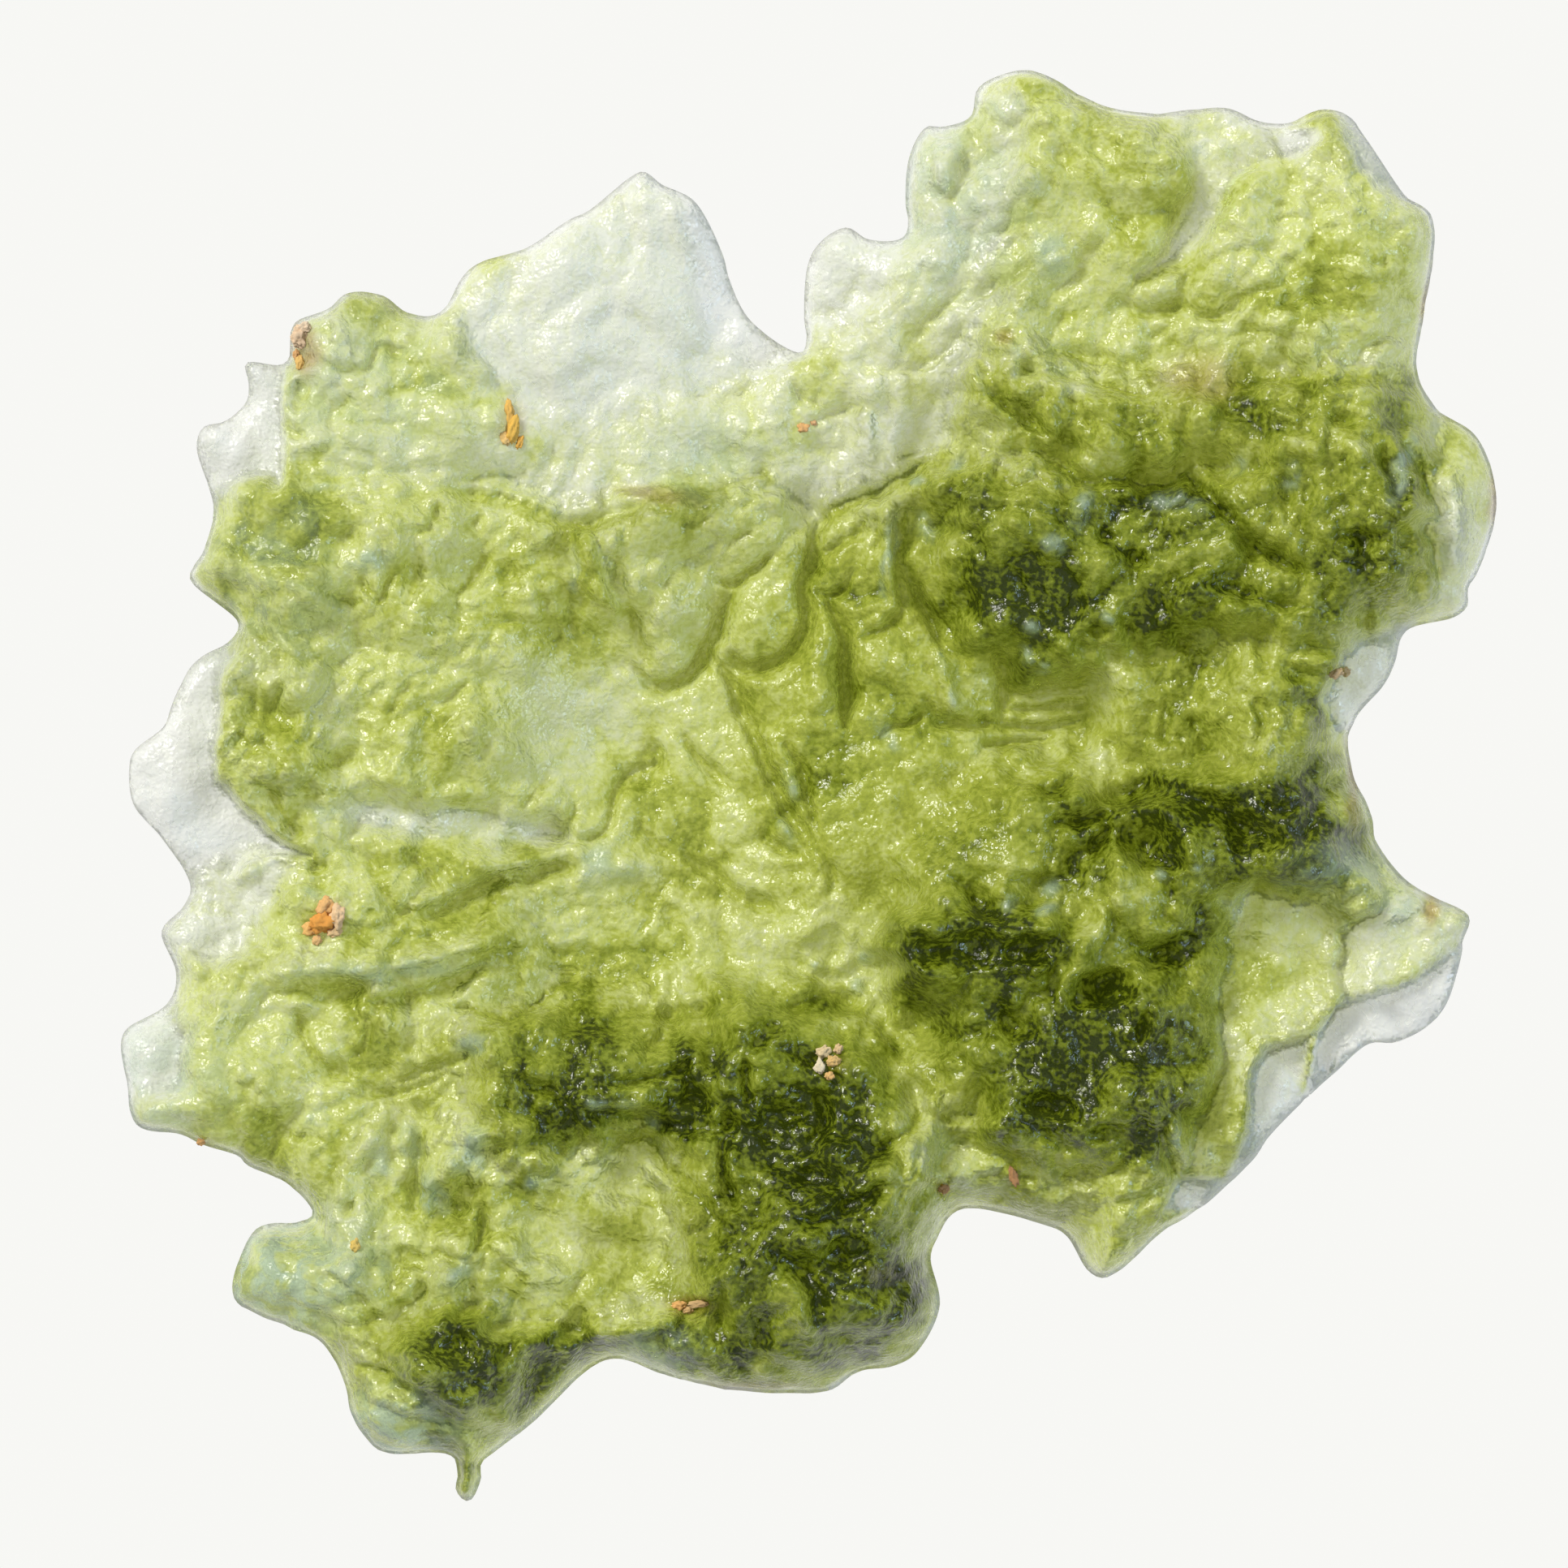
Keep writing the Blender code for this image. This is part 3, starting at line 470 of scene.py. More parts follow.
# rounded lobes (above zero) and opened bubbles (below zero), by height in millimetres
MOUNDS = ovals(
    # lobes on the neck and the oval lens
    (0.38, 48, 26, (1170, 190), 75), (0.30, 30, 24, (1240, 130)), (0.30, 34, 26, (1214, 230), 60),
    (0.30, 26, 20, (1266, 236)), (0.38, 44, 24, (1292, 318), -65), (0.28, 26, 18, (1230, 266), 60),
    (0.30, 50, 18, (1216, 326), 62), (0.22, 34, 30, (1058, 470)), (0.22, 24, 20, (1000, 460)),
    (0.22, 60, 24, (1160, 300), 80), (0.20, 36, 22, (1602, 173), 15),
    # spots of the upper right lobe
    (-0.40, 14, 11, (1278, 168)), (-0.35, 22, 15, (1360, 182), -30), (-0.28, 13, 9, (1272, 370)),
    (-0.32, 11, 9, (1236, 414)), (-0.55, 14, 12, (1264, 456)), (-0.26, 14, 9, (1580, 256)),
    (-0.26, 15, 8, (1584, 271)), (-0.24, 18, 8, (1642, 259)), (-0.24, 15, 8, (1636, 288)),
    (-0.28, 14, 10, (1582, 325)), (-0.38, 22, 12, (1624, 366), -20), (-0.38, 15, 10, (1652, 386), -60),
    (-0.32, 13, 8, (1664, 412)), (-0.28, 30, 22, (1722, 356)), (-0.45, 28, 16, (1580, 500), -20),
    # right body
    (-0.65, 30, 12, (1534, 676), -45), (-0.65, 22, 10, (1576, 694), -30), (0.35, 26, 20, (1438, 620)),
    (0.32, 18, 13, (1470, 628)), (0.30, 22, 14, (1524, 572), 60), (0.32, 22, 10, (1584, 590), 65),
    (-0.55, 17, 10, (1830, 628), 80), (-0.65, 15, 10, (1352, 780)), (0.35, 12, 9, (1270, 775)),
    (0.32, 14, 7, (1265, 808), -60), (0.32, 10, 8, (1286, 822)), (0.35, 12, 7, (1363, 764), -60),
    (0.40, 32, 15, (1330, 628), 80), (0.34, 19, 11, (1294, 675), -40), (0.32, 20, 9, (1142, 652), -70),
    (0.32, 20, 9, (1176, 575), 70), (0.28, 14, 9, (1130, 592)),
    # fingers and valley
    (0.50, 78, 40, (832, 768), 69), (0.52, 74, 38, (930, 758), 70), (0.40, 76, 20, (1008, 830), 88),
    (0.36, 26, 20, (1082, 750), 20), (0.30, 44, 34, (1095, 830), 10), (0.36, 22, 9, (973, 966), -70),
    (0.32, 22, 8, (968, 1026), -75), (0.38, 24, 13, (884, 798), -50), (0.30, 14, 9, (1018, 1090), 70),
    # left body
    (-0.45, 13, 9, (402, 406), -30), (-0.50, 22, 13, (368, 490), 80), (-0.34, 18, 12, (332, 784), -50),
    (-0.32, 16, 14, (362, 780)), (-0.55, 28, 16, (312, 917), -10), (0.45, 9, 7, (314, 907)),
    (-0.65, 13, 10, (391, 1068)), (-0.28, 22, 10, (445, 900), -20), (-0.28, 24, 14, (422, 930), 40),
    (-0.32, 24, 9, (492, 860), 50), (0.32, 34, 18, (460, 686), 5), (0.30, 24, 10, (396, 600), 10),
    (0.30, 20, 20, (280, 826)), (0.30, 22, 10, (388, 1102), -15), (0.40, 36, 24, (756, 1064)),
    (0.26, 22, 16, (1580, 1012), 30),
    # lower left
    (0.34, 34, 28, (404, 1280), -30), (0.48, 78, 42, (532, 1276), 12), (0.30, 26, 22, (580, 1276)),
    (0.28, 24, 13, (498, 1326), 10), (0.30, 22, 30, (598, 1356)), (-0.50, 20, 19, (527, 1362)),
    (0.20, 13, 8, (339, 1314), 40), (0.26, 18, 26, (388, 1376), -20), (-0.55, 17, 12, (425, 1487)),
    (-0.65, 22, 14, (570, 1478), 60), (-0.65, 26, 14, (512, 1552), -40), (-0.50, 14, 12, (522, 1592)),
    (-0.55, 14, 10, (440, 1598)), (-0.45, 12, 8, (405, 1535)), (0.36, 14, 19, (470, 1566)),
    (0.34, 10, 22, (432, 1562)), (0.50, 13, 12, (655, 1455)), (-1.00, 44, 26, (558, 1655), -20),
    (-0.80, 26, 15, (626, 1656), 50), (0.34, 18, 9, (502, 1730), -40),
    # south
    (-0.34, 44, 20, (704, 1184)), (-0.34, 36, 20, (610, 1226)), (-0.36, 17, 17, (826, 1132)),
    (-0.65, 25, 14, (940, 1112), -30), (0.60, 64, 56, (1012, 1156)), (-0.45, 30, 20, (1022, 1166)),
    (-0.85, 52, 18, (1016, 1238)), (0.38, 12, 9, (1008, 1190)), (0.38, 12, 10, (1068, 1182)),
    (0.38, 10, 12, (1056, 1218)), (0.38, 16, 9, (738, 1356)), (0.34, 20, 8, (776, 1359)),
    (0.34, 14, 9, (800, 1386)), (-0.80, 26, 18, (890, 1636), -60), (-0.70, 42, 30, (942, 1630)),
    (-0.75, 30, 24, (1042, 1540)), (0.42, 42, 14, (1116, 1620), 75), (0.40, 16, 20, (866, 1584), 60),
    (-0.55, 30, 18, (944, 1275), 20),
    # lower right
    (0.45, 72, 28, (1158, 1092), -35), (-1.10, 62, 30, (1192, 1172)), (-0.90, 36, 24, (1268, 1166)),
    (-0.70, 42, 20, (1130, 1166)), (-0.80, 42, 25, (1274, 1096)), (0.45, 14, 12, (1297, 1094)),
    (0.40, 17, 8, (1240, 1110), 50), (0.40, 19, 6, (1290, 1119), 20), (0.60, 38, 22, (1326, 982), 25),
    (0.50, 36, 19, (1334, 1028), 25), (0.55, 30, 22, (1350, 940), 30), (0.60, 40, 26, (1358, 1070), 60),
    (-0.90, 32, 24, (1404, 1040), -30), (-0.70, 20, 14, (1440, 1062)), (0.45, 10, 7, (1430, 1079), -40),
    (0.40, 9, 6, (1470, 1071)), (-0.75, 36, 26, (1540, 1026)), (-0.60, 40, 24, (1604, 1076)),
    (-1.10, 46, 25, (1356, 1216), 10), (-0.90, 42, 18, (1290, 1362), -15),
    (-0.75, 42, 24, (1440, 1170)), (-0.65, 30, 14, (1360, 1393)), (-0.80, 42, 26, (1150, 1262)),
    (0.35, 18, 14, (1176, 1262)), (-0.65, 25, 11, (1407, 1265), 80), (-0.36, 38, 32, (1460, 1266)),
    (0.32, 42, 15, (1736, 1118), 25), (-0.34, 14, 10, (1763, 1126)), (-0.45, 44, 26, (1235, 1412), -15),
    (-0.50, 20, 12, (1160, 1466), -40),
)

# round parts of the face, by the factor that the fine etching has there
PATCHES = ovals(
    (0.25, 260, 200, (760, 380)), (0.10, 120, 130, (200, 960)), (0.40, 200, 170, (640, 880)),
    (0.25, 120, 130, (1370, 280)), (0.45, 130, 190, (1570, 1200)), (0.06, 130, 90, (1730, 1240)),
    (0.35, 150, 130, (760, 1540)), (0.30, 110, 100, (340, 1580)), (0.35, 120, 70, (1370, 1500)),
    (0.40, 110, 100, (240, 1320)), (1.70, 150, 110, (500, 1530)), (1.50, 210, 70, (1360, 510)),
    (1.60, 200, 80, (860, 1340)), (1.50, 120, 120, (1010, 1390)), (1.40, 140, 100, (1300, 1080)),
    (1.50, 140, 70, (1660, 510)), (1.40, 120, 90, (1180, 640)), (1.30, 160, 120, (960, 1600)),
    (0.55, 150, 110, (1120, 990)), (0.60, 130, 120, (880, 900)), (0.55, 120, 140, (950, 740)),
)

# patches on the skin, by strength: soil stains, and painted glints and painted sky reflection
STAINS_AND_GLINTS = {
    # brown from the soil
    FilmOrGlint.IRON: ovals(
        (0.75, 22, 46, (371, 430), 5), (0.45, 60, 14, (812, 610), -5), (0.60, 10, 70, (1762, 380)),
        (0.55, 12, 90, (1674, 980)), (0.55, 10, 46, (1846, 610)), (0.70, 12, 20, (1763, 1126)),
        (0.80, 9, 14, (1248, 1450), 20), (0.50, 14, 12, (1236, 416)), (0.70, 13, 11, (1162, 1466), -40),
        (0.50, 70, 9, (930, 1708)), (0.55, 40, 14, (1090, 1568), -15), (0.45, 60, 40, (1475, 470)),
        (0.65, 34, 14, (850, 1606)), (0.55, 26, 20, (1022, 1306)), (0.50, 16, 10, (247, 1408)),
        (0.55, 30, 24, (404, 1132), 20), (0.40, 20, 34, (628, 520), 10),
    ),
    # painted highlights: glints on crests and tops, and painted sky reflection on the pendant and the
    # foot
    FilmOrGlint.GLINT: ovals(
        (0.80, 34, 18, (460, 688), 5), (0.70, 22, 9, (396, 600), 10), (0.55, 30, 12, (400, 1000)),
        (0.60, 18, 8, (388, 1101), -15), (0.75, 130, 13, (470, 1194), 2), (0.70, 30, 18, (585, 1285)),
        (0.60, 18, 24, (390, 1385), -15), (0.70, 20, 30, (468, 1432), 10),
        (0.75, 16, 28, (503, 1410), 10), (0.80, 26, 40, (580, 1410), -20),
        (0.75, 22, 30, (532, 1466), 30), (0.70, 9, 34, (438, 1570)), (0.60, 16, 18, (474, 1566)),
        (0.80, 34, 16, (566, 1566), 50), (0.70, 26, 36, (736, 1068)), (0.55, 30, 14, (776, 1074)),
        (0.75, 7, 34, (706, 706)), (0.80, 7, 60, (1100, 680), -4), (0.85, 7, 16, (1156, 815)),
        (0.80, 7, 22, (1176, 858)), (0.80, 16, 34, (1330, 628), -10), (0.80, 19, 12, (1294, 675), -40),
        (0.70, 12, 24, (1141, 652), 20), (0.70, 8, 20, (1176, 575), -20), (0.70, 14, 9, (1130, 592)),
        (0.80, 12, 9, (1270, 775)), (0.80, 14, 8, (1265, 808), -60), (0.70, 10, 8, (1286, 822)),
        (0.70, 12, 8, (1363, 764), -60), (0.70, 22, 9, (973, 966), -70),
        (0.70, 22, 8, (968, 1026), -75), (0.75, 44, 24, (1292, 318), -65),
        (0.60, 24, 16, (1212, 228), 60), (0.55, 20, 16, (1266, 236)), (0.50, 26, 20, (1240, 134)),
        (0.60, 40, 20, (1172, 190), 75), (0.80, 12, 60, (1722, 575), -22), (0.60, 22, 14, (1438, 620)),
        (0.60, 16, 12, (1470, 628)), (0.60, 12, 22, (1524, 572), -30), (0.60, 12, 22, (1584, 590), -25),
        (0.60, 24, 14, (1728, 1116), 25), (0.75, 12, 10, (1240, 1110), 50),
        (0.80, 19, 7, (1290, 1119), 20), (0.70, 14, 12, (1297, 1094)), (0.75, 10, 8, (1430, 1079), -40),
        (0.75, 9, 7, (1470, 1071)), (0.80, 12, 9, (1008, 1190)), (0.75, 12, 10, (1068, 1182)),
        (0.75, 10, 12, (1056, 1218)), (0.75, 16, 9, (738, 1356)), (0.60, 20, 8, (776, 1359)),
        (0.60, 14, 9, (800, 1386)), (0.85, 12, 11, (655, 1455)), (0.70, 8, 34, (1446, 1405), -10),
        (0.70, 12, 30, (1092, 906), 30), (0.75, 150, 90, (350, 1580), 30),
        (0.95, 96, 64, (480, 1765), 10), (0.45, 110, 90, (200, 1330)), (0.95, 96, 84, (345, 1572)),
        (0.35, 150, 110, (450, 470)), (0.30, 110, 150, (330, 720)), (0.45, 110, 150, (1180, 250), 20),
        (0.55, 60, 46, (810, 1672)), (0.55, 90, 50, (1660, 1078)), (0.40, 90, 60, (870, 560)),
    ),
}

CRUMBS = tuple(Crumb(*row) for row in (
    # the orange grain on the left with its paler crumbs
    ((398, 1136), 15, 12, "#F0A850", 20), ((384, 1144), 9, 8, "#F6C478"),
    ((402, 1117), 11, 9, "#F2C07E", 60), ((418, 1128), 8, 12, "#F5D2A4"),
    ((414, 1147), 9, 6, "#F6D09A", 30), ((392, 1158), 6, 5, "#F2C484"),
    # sliver in the upper left lobe
    ((627, 506), 5, 13, "#F4C468", 5), ((631, 528), 7, 17, "#F6C65E", -8),
    ((622, 540), 5, 8, "#F6CF86", 20), ((640, 544), 4, 8, "#F4BE5C", -20),
    # tan earth at the left shoulder
    ((368, 416), 9, 13, "#EFD2B0", 10), ((376, 403), 7, 6, "#F2DABC"), ((369, 448), 5, 9, "#F2C878"),
    ((364, 436), 4, 6, "#E4B47C"),
    # specks in the neck, the middle and at the edges
    ((990, 525), 7, 6, "#F0BC7C"), ((1003, 519), 4, 3, "#EFC08C"), ((1014, 1296), 9, 7, "#E9D3A4", 30),
    ((1026, 1306), 8, 6, "#E6C17C"), ((1010, 1314), 6, 8, "#F0E2BF"), ((1022, 1324), 5, 5, "#EFC27C"),
    ((1033, 1292), 5, 6, "#EACB98"), ((838, 1606), 8, 5, "#F2BC74"), ((862, 1602), 12, 4, "#DDB880", 5),
    ((848, 1612), 6, 4, "#DCB67C"), ((1249, 1450), 5, 11, "#B88A5E", 20),
    ((1645, 830), 8, 5, "#DFC294", 30), ((1661, 827), 6, 5, "#E6C898"), ((440, 1532), 5, 7, "#EACB70"),
    ((247, 1407), 5, 4, "#DEAC70"), ((1163, 1465), 6, 5, "#C69A6A"),
))


def srgb(code: str) -> tuple[float, float, float, float]:
    """Turns an sRGB hex colour into a linear colour.

    Args:
        code: Six hex digits after a hash sign.

    Returns:
        Linear red, green and blue, and an alpha of one.
    """
    parts = [int(code[k : k + 2], 16) / 255 for k in (1, 3, 5)]
    linear = [p / 12.92 if p <= 0.04045 else ((p + 0.055) / 1.055) ** 2.4 for p in parts]
    return (*linear, 1.0)


def set_node(tree: bpy.types.NodeTree, node: bpy.types.Node, settings: dict,
             links: dict | None = None) -> bpy.types.Node:
    """Sets up a shader node that is there already.

    Args:
        tree: The node tree it is in.
        node: The node.
        settings: Values for its properties, or for its input sockets by name or number.
        links: Output sockets to link to its inputs, by input name or number.

    Returns:
        The same node.
    """
    for key, value in settings.items():
        if isinstance(key, str) and hasattr(node, key):
            setattr(node, key, value)
        else:
            node.inputs[key].default_value = value
    for key, source in (links or {}).items():
        tree.links.new(source, node.inputs[key])
    return node


def add_node(tree: bpy.types.NodeTree, kind: str, settings: dict | None = None,
             links: dict | None = None) -> bpy.types.Node:
    """Adds one shader node of the kind named, with its settings and links as set_node has them."""
    return set_node(tree, tree.nodes.new(kind), settings or {}, links)


def new_material(name: str) -> tuple[bpy.types.Material, bpy.types.NodeTree, bpy.types.Node]:
    """Starts a material made of nodes.

    Args:
        name: What it is called.

    Returns:
        The material, its node tree and its surface shader.
    """
    material = bpy.data.materials.new(name)
    material.use_nodes = True
    tree = material.node_tree
    return material, tree, tree.nodes["Principled BSDF"]


def put_in_scene(name: str, data: bpy.types.ID) -> bpy.types.Object:
    """Makes an object and puts it in the scene.

    Args:
        name: What it is called.
        data: Its mesh, light or camera.

    Returns:
        The object.
    """
    thing = bpy.data.objects.new(name, data)
    bpy.context.scene.collection.objects.link(thing)
    return thing


def on_plate(steps: Path | Places) -> Places:
    """Grid places as X and Y in millimetres from the middle of the outline.

    Args:
        steps: Grid places, as columns and rows.

    Returns:
        An array with one row for each place.
    """
    places = np.asarray(steps, float)
    x = (places[..., 0] - GRID_CENTRE[0]) * GRID_MM
    y = (GRID_CENTRE[1] - places[..., 1]) * GRID_MM
    return np.stack([x, y], axis=-1)


def eased(share: Places) -> Places:
    """A share of 0 to 1, with a soft start and a soft end."""
    share = np.clip(share, 0, 1)
    return share * share * (3 - 2 * share)


def rounded_loop(knots: Places, spacing: float) -> Places:
    """A closed centripetal spline through the knots, cut into even lengths.

    Args:
        knots: The places that it passes through.
        spacing: Length of each cut.

    Returns:
        Places along the loop.
    """
    dense = []
    share = np.linspace(0, 1, LOOP_CUTS, endpoint=False)[:, None]
    before, here = np.roll(knots, 1, axis=0), knots
    after, beyond = np.roll(knots, -1, axis=0), np.roll(knots, -2, axis=0)
    for p0, p1, p2, p3 in zip(before, here, after, beyond):
        k0, k1, k2 = (np.linalg.norm(b - a) ** 0.5 for a, b in ((p0, p1), (p1, p2), (p2, p3)))
        t0, t1, t2, t3 = -k0, 0.0, k1, k1 + k2
        t = share * k1
        a1 = (t1 - t) / (t1 - t0) * p0 + (t - t0) / (t1 - t0) * p1
        a2 = (t2 - t) / (t2 - t1) * p1 + (t - t1) / (t2 - t1) * p2
        a3 = (t3 - t) / (t3 - t2) * p2 + (t - t2) / (t3 - t2) * p3
        b1 = (t2 - t) / (t2 - t0) * a1 + (t - t0) / (t2 - t0) * a2
        b2 = (t3 - t) / (t3 - t1) * a2 + (t - t1) / (t3 - t1) * a3
        dense.append((t2 - t) / (t2 - t1) * b1 + (t - t1) / (t2 - t1) * b2)
    loop = np.concatenate(dense)
    closed = np.vstack([loop, loop[:1]])
    along = np.concatenate([[0], np.cumsum(np.linalg.norm(np.diff(closed, axis=0), axis=1))])
    at = np.linspace(0, along[-1], round(along[-1] / spacing), endpoint=False)
    return np.stack([np.interp(at, along, closed[:, k]) for k in (0, 1)], axis=1)


def swept_path(knots: Places) -> Places:
    """An open path drawn as a smooth curve through its knots.

    Args:
        knots: Two or more places.

    Returns:
        Places along the curve.
    """
    if len(knots) < 3:
        return knots
    ends = np.vstack([2 * knots[0] - knots[1], knots, 2 * knots[-1] - knots[-2]])
    share = np.linspace(0, 1, PATH_CUTS, endpoint=False)[:, None]
    curve = []
    for p0, p1, p2, p3 in zip(ends[:-3], ends[1:-2], ends[2:-1], ends[3:]):
        pull = (p2 - p0) * share + (2 * p0 - 5 * p1 + 4 * p2 - p3) * share ** 2
        curve.append(p1 + 0.5 * (pull + (3 * p1 - p0 - 3 * p2 + p3) * share ** 3))
    return np.vstack([*curve, knots[-1:]])


def path_distance(places: Places, path: Places) -> tuple[Places, Places, Places]:
    """How far each place is from an open path, and where along it.

    Args:
        places: The places.
        path: Corners of the path.

    Returns:
        Distances, +1 on the left of the path or -1 on its right, and lengths from its nearer end.
    """
    nearest = np.full(len(places), np.inf)
    side = np.ones(len(places))
    along = np.zeros(len(places))
    gone = 0.0
    for start, end in zip(path[:-1], path[1:]):
        run = end - start
        off = places - start
        share = np.clip(off @ run / (run @ run), 0, 1)
        distance = np.linalg.norm(off - share[:, None] * run, axis=1)
        closer = distance < nearest
        nearest[closer] = distance[closer]
        cross = run[0] * off[:, 1] - run[1] * off[:, 0]
        side[closer] = np.sign(cross[closer])
        stretch = np.linalg.norm(run)
        along[closer] = gone + share[closer] * stretch
        gone += stretch
    return nearest, side, np.minimum(along, gone - along)


def depth_inside(places: Places, ring: Places) -> Places:
    """Distance to a closed ring: above zero inside it, below zero outside.

    Args:
        places: The places.
        ring: Corners of the ring.

    Returns:
        One distance for each place.
    """
    inside = np.zeros(len(places), bool)
    x, y = places.T
    for (x0, y0), (x1, y1) in zip(ring, np.roll(ring, -1, axis=0)):
        if y0 != y1:
            crosses = (y0 > y) != (y1 > y)
            inside ^= crosses & (x < (x1 - x0) * (y - y0) / (y1 - y0) + x0)
    distance = path_distance(places, np.vstack([ring, ring[:1]]))[0]
    return np.where(inside, distance, -distance)


def close_to(places: Places, path: Places, reach: float) -> Places:
    """Marks the places inside a path's box widened by a reach."""
    low, high = path.min(axis=0) - reach, path.max(axis=0) + reach
    return np.all((places > low) & (places < high), axis=1)


def oval_reach(places: Places, oval: Oval) -> Places:
    """How far each place is from an oval's middle, as a share of the way to its edge.

    Args:
        places: The places.
        oval: The oval.

    Returns:
        Zero in the middle, one on the edge and more outside.
    """
    off = places - on_plate(oval.centre)
    turn = math.radians(oval.turn_deg)
    along = off[:, 0] * math.cos(turn) + off[:, 1] * math.sin(turn)
    across = off[:, 1] * math.cos(turn) - off[:, 0] * math.sin(turn)
    return np.hypot(along / oval.long_steps, across / oval.short_steps) / GRID_MM


def smooth_noise(places: Places, size_mm: float, layer: float) -> Places:
    """Smooth noise from -1 to 1.

    Args:
        places: The places.
        size_mm: Rough width of one swell.
        layer: Which of the endless noise fields to read.

    Returns:
        One value for each place.
    """
    return np.array([noise.noise(Vector((x, y, layer))) for x, y in places / size_mm])


def cupped_noise(places: Places, size_mm: float, layer: float) -> Places:
    """Round cups that meet in sharp crests, or turned over, lobes that meet in sharp furrows.

    Args:
        places: The places.
        size_mm: Rough width of one cup.
        layer: Which of the endless noise fields to read.

    Returns:
        Height around zero, least in the middle of a cup and most on the crests.
    """
    near = np.array([noise.voronoi(Vector((x, y, layer)))[0][0] for x, y in places / size_mm])
    return np.minimum(near * near * CUP_RISE, CUP_TOP) - CUP_MEAN


@dataclass
class Relief:
    """What is drawn on one side of the stone, in millimetres at each of its places."""

    zoned: Places
    crests: Places
    roots: Places
    mounds: Places
    etched: Places
    furrows: Places


@dataclass
class StoneForm:
    """The stone's skin: upper sheet, rounded rim and underside. Lengths are in millimetres."""

    outline: Path = field(default=OUTLINE, repr=False)
    # triangles: etched and calm parts of the upper side, underside and rim
    upper_facet: float = 0.088
    calm_facet: float = 0.15
    calm_gain: float = 0.30
    lower_facet: float = 0.25
    rim_facet: float = 0.12
    lattice_shake: float = 0.14
    lattice_gap: float = 0.6
    ring_skip: int = 3
    seed: int = 11
    # the plate outside every zone, and its edge
    body: float = 2.2
    rim: float = 0.22
    rim_round: float = 0.07
    edge_run_share: float = 0.42
    edge_run_least: float = 0.40
    # wandering of drawn edges: widths of its two swells, noise fields, and how far it may go
    sway_sizes: tuple[float, float] = (0.95, 0.4)
    sway_layers: tuple[float, float] = (60.0, 61.0)
    sway_fine_share: float = 0.5
    zone_sway: float = 0.42
    crest_sway: float = 0.10
    crest_swell: float = 0.35
    mound_sway: tuple[float, float] = (0.45, 0.26)
    stain_or_glint_sway: tuple[float, float] = (0.5, 0.2)
    # zones that fade over more steps than this have round corners
    crisp_fade: float = 20
    zone_facet: float = 0.35
    # ridges and grooves: share of the drawn width and sharpness of the flank
    ridge_flank: tuple[float, float] = (1.0, 2.0)
    groove_flank: tuple[float, float] = (0.74, 2.4)
    crest_reach: float = 3.2
    taper_run: float = 3.0
    taper_end: float = 0.22
    root_share: float = 0.78
    lobe_power: float = 0.85
    bubble_power: float = 0.62
    stain_or_glint_edge: float = 1.25
    # fine etching: height, width, noise field and extra wandering, wide cups first, then lobes
    etch_cups: tuple[tuple[float, float, int, float], ...] = (
        (0.40, 2.4, 0, 0.0), (-0.42, 1.15, 1, 0.3), (-0.26, 0.56, 2, 0.0), (-0.12, 0.29, 4, 0.0),
    )
    etch_sway_size: float = 2.6
    etch_sway: float = 0.9
    streak_height: float = 0.10
    streak_pull: tuple[Spot, Spot] = ((0.42, 2.2), (0.9, -1.0))
    streak_scale: float = 1.6
    upper_layer: float = 3.0
    lower_layer: float = 40.0
    # the etching's share where the glass is thinnest, and the thickness that has all of it
    thin_etch: float = 0.20
    full_etch: float = 3.4
    # underside: half widths of the spot it rests on, its rise beyond, and two low swells
    rest_centre: Spot = (1.1, -0.5)
    rest_half: Spot = (3.6, 3.1)
    rest_fade: float = 1.5
    keel_rise: float = 2.9
    keel_reach: float = 2.8
    keel_power: float = 1.2
    lower_share: float = 0.32
    lower_start: float = 0.40
    lower_least: float = 0.15
    swells: tuple[float, float] = (0.30, 0.14)
    lower_etch: tuple[float, float, float] = (0.25, 0.45, 3.0)
    # shares of the drawn relief that are height: the rest is only how deep the green looks
    ridge_share: float = 0.62
    lobe_share: float = 0.60
    etch_share: float = 0.45
    tall_start: float = 2.8
    tall_loss: float = 0.24
    # how deep the green looks: painted highlights on tops, painted shade in bubbles, groove roots and
    # furrows, within bounds
    top_highlight: float = 0.5
    bubble_shade: float = 1.2
    root_shade: float = 2.2
    clear_edge: float = 0.12
    edge_speed: float = 6
    edge_least: float = 0.45
    thin_contrast: float = 1.5
    thick_contrast: float = 1.7
    contrast_from: float = 2.2
    contrast_run: float = 2.6
    least_share: float = 0.52
    most_share: float = 1.30
    furrow_start: float = 0.20
    furrow_shade: float = 3.4
    furrow_from: float = 0.7
    furrow_run: float = 0.9
    palest: float = 0.3

    def wandered(self, places: Places) -> Places:
        """A small wandering offset for each place, which keeps drawn edges from being straight.

        Args:
            places: Where to measure.

        Returns:
            Sideways offsets, one row for each place.
        """
        wide, fine = self.sway_sizes
        swells = []
        for layer in self.sway_layers:
            swell = smooth_noise(places, wide, layer)
            swells.append(swell + self.sway_fine_share * smooth_noise(places, fine, layer + 3))
        return np.stack(swells, axis=1)

    def zoned_thickness(self, places: Places, sway: Places) -> Places:
        """Thickness from the zones alone.

        Args:
            places: Where to measure.
            sway: The wandering offset there.

        Returns:
            Thickness at each place.
        """
        thickness = np.full(len(places), self.body)
        for zone in ZONES:
            fade = zone.fade_steps * GRID_MM
            ring = on_plate(zone.ring)
            if zone.fade_steps > self.crisp_fade:
                ring = rounded_loop(ring, self.zone_facet)
            near = close_to(places, ring, fade)
            at = places[near] + sway[near] * min(fade * 0.5, self.zone_sway)
            weight = eased(0.5 + depth_inside(at, ring) / fade)
            thickness[near] += (zone.thickness_mm - thickness[near]) * weight
        return thickness

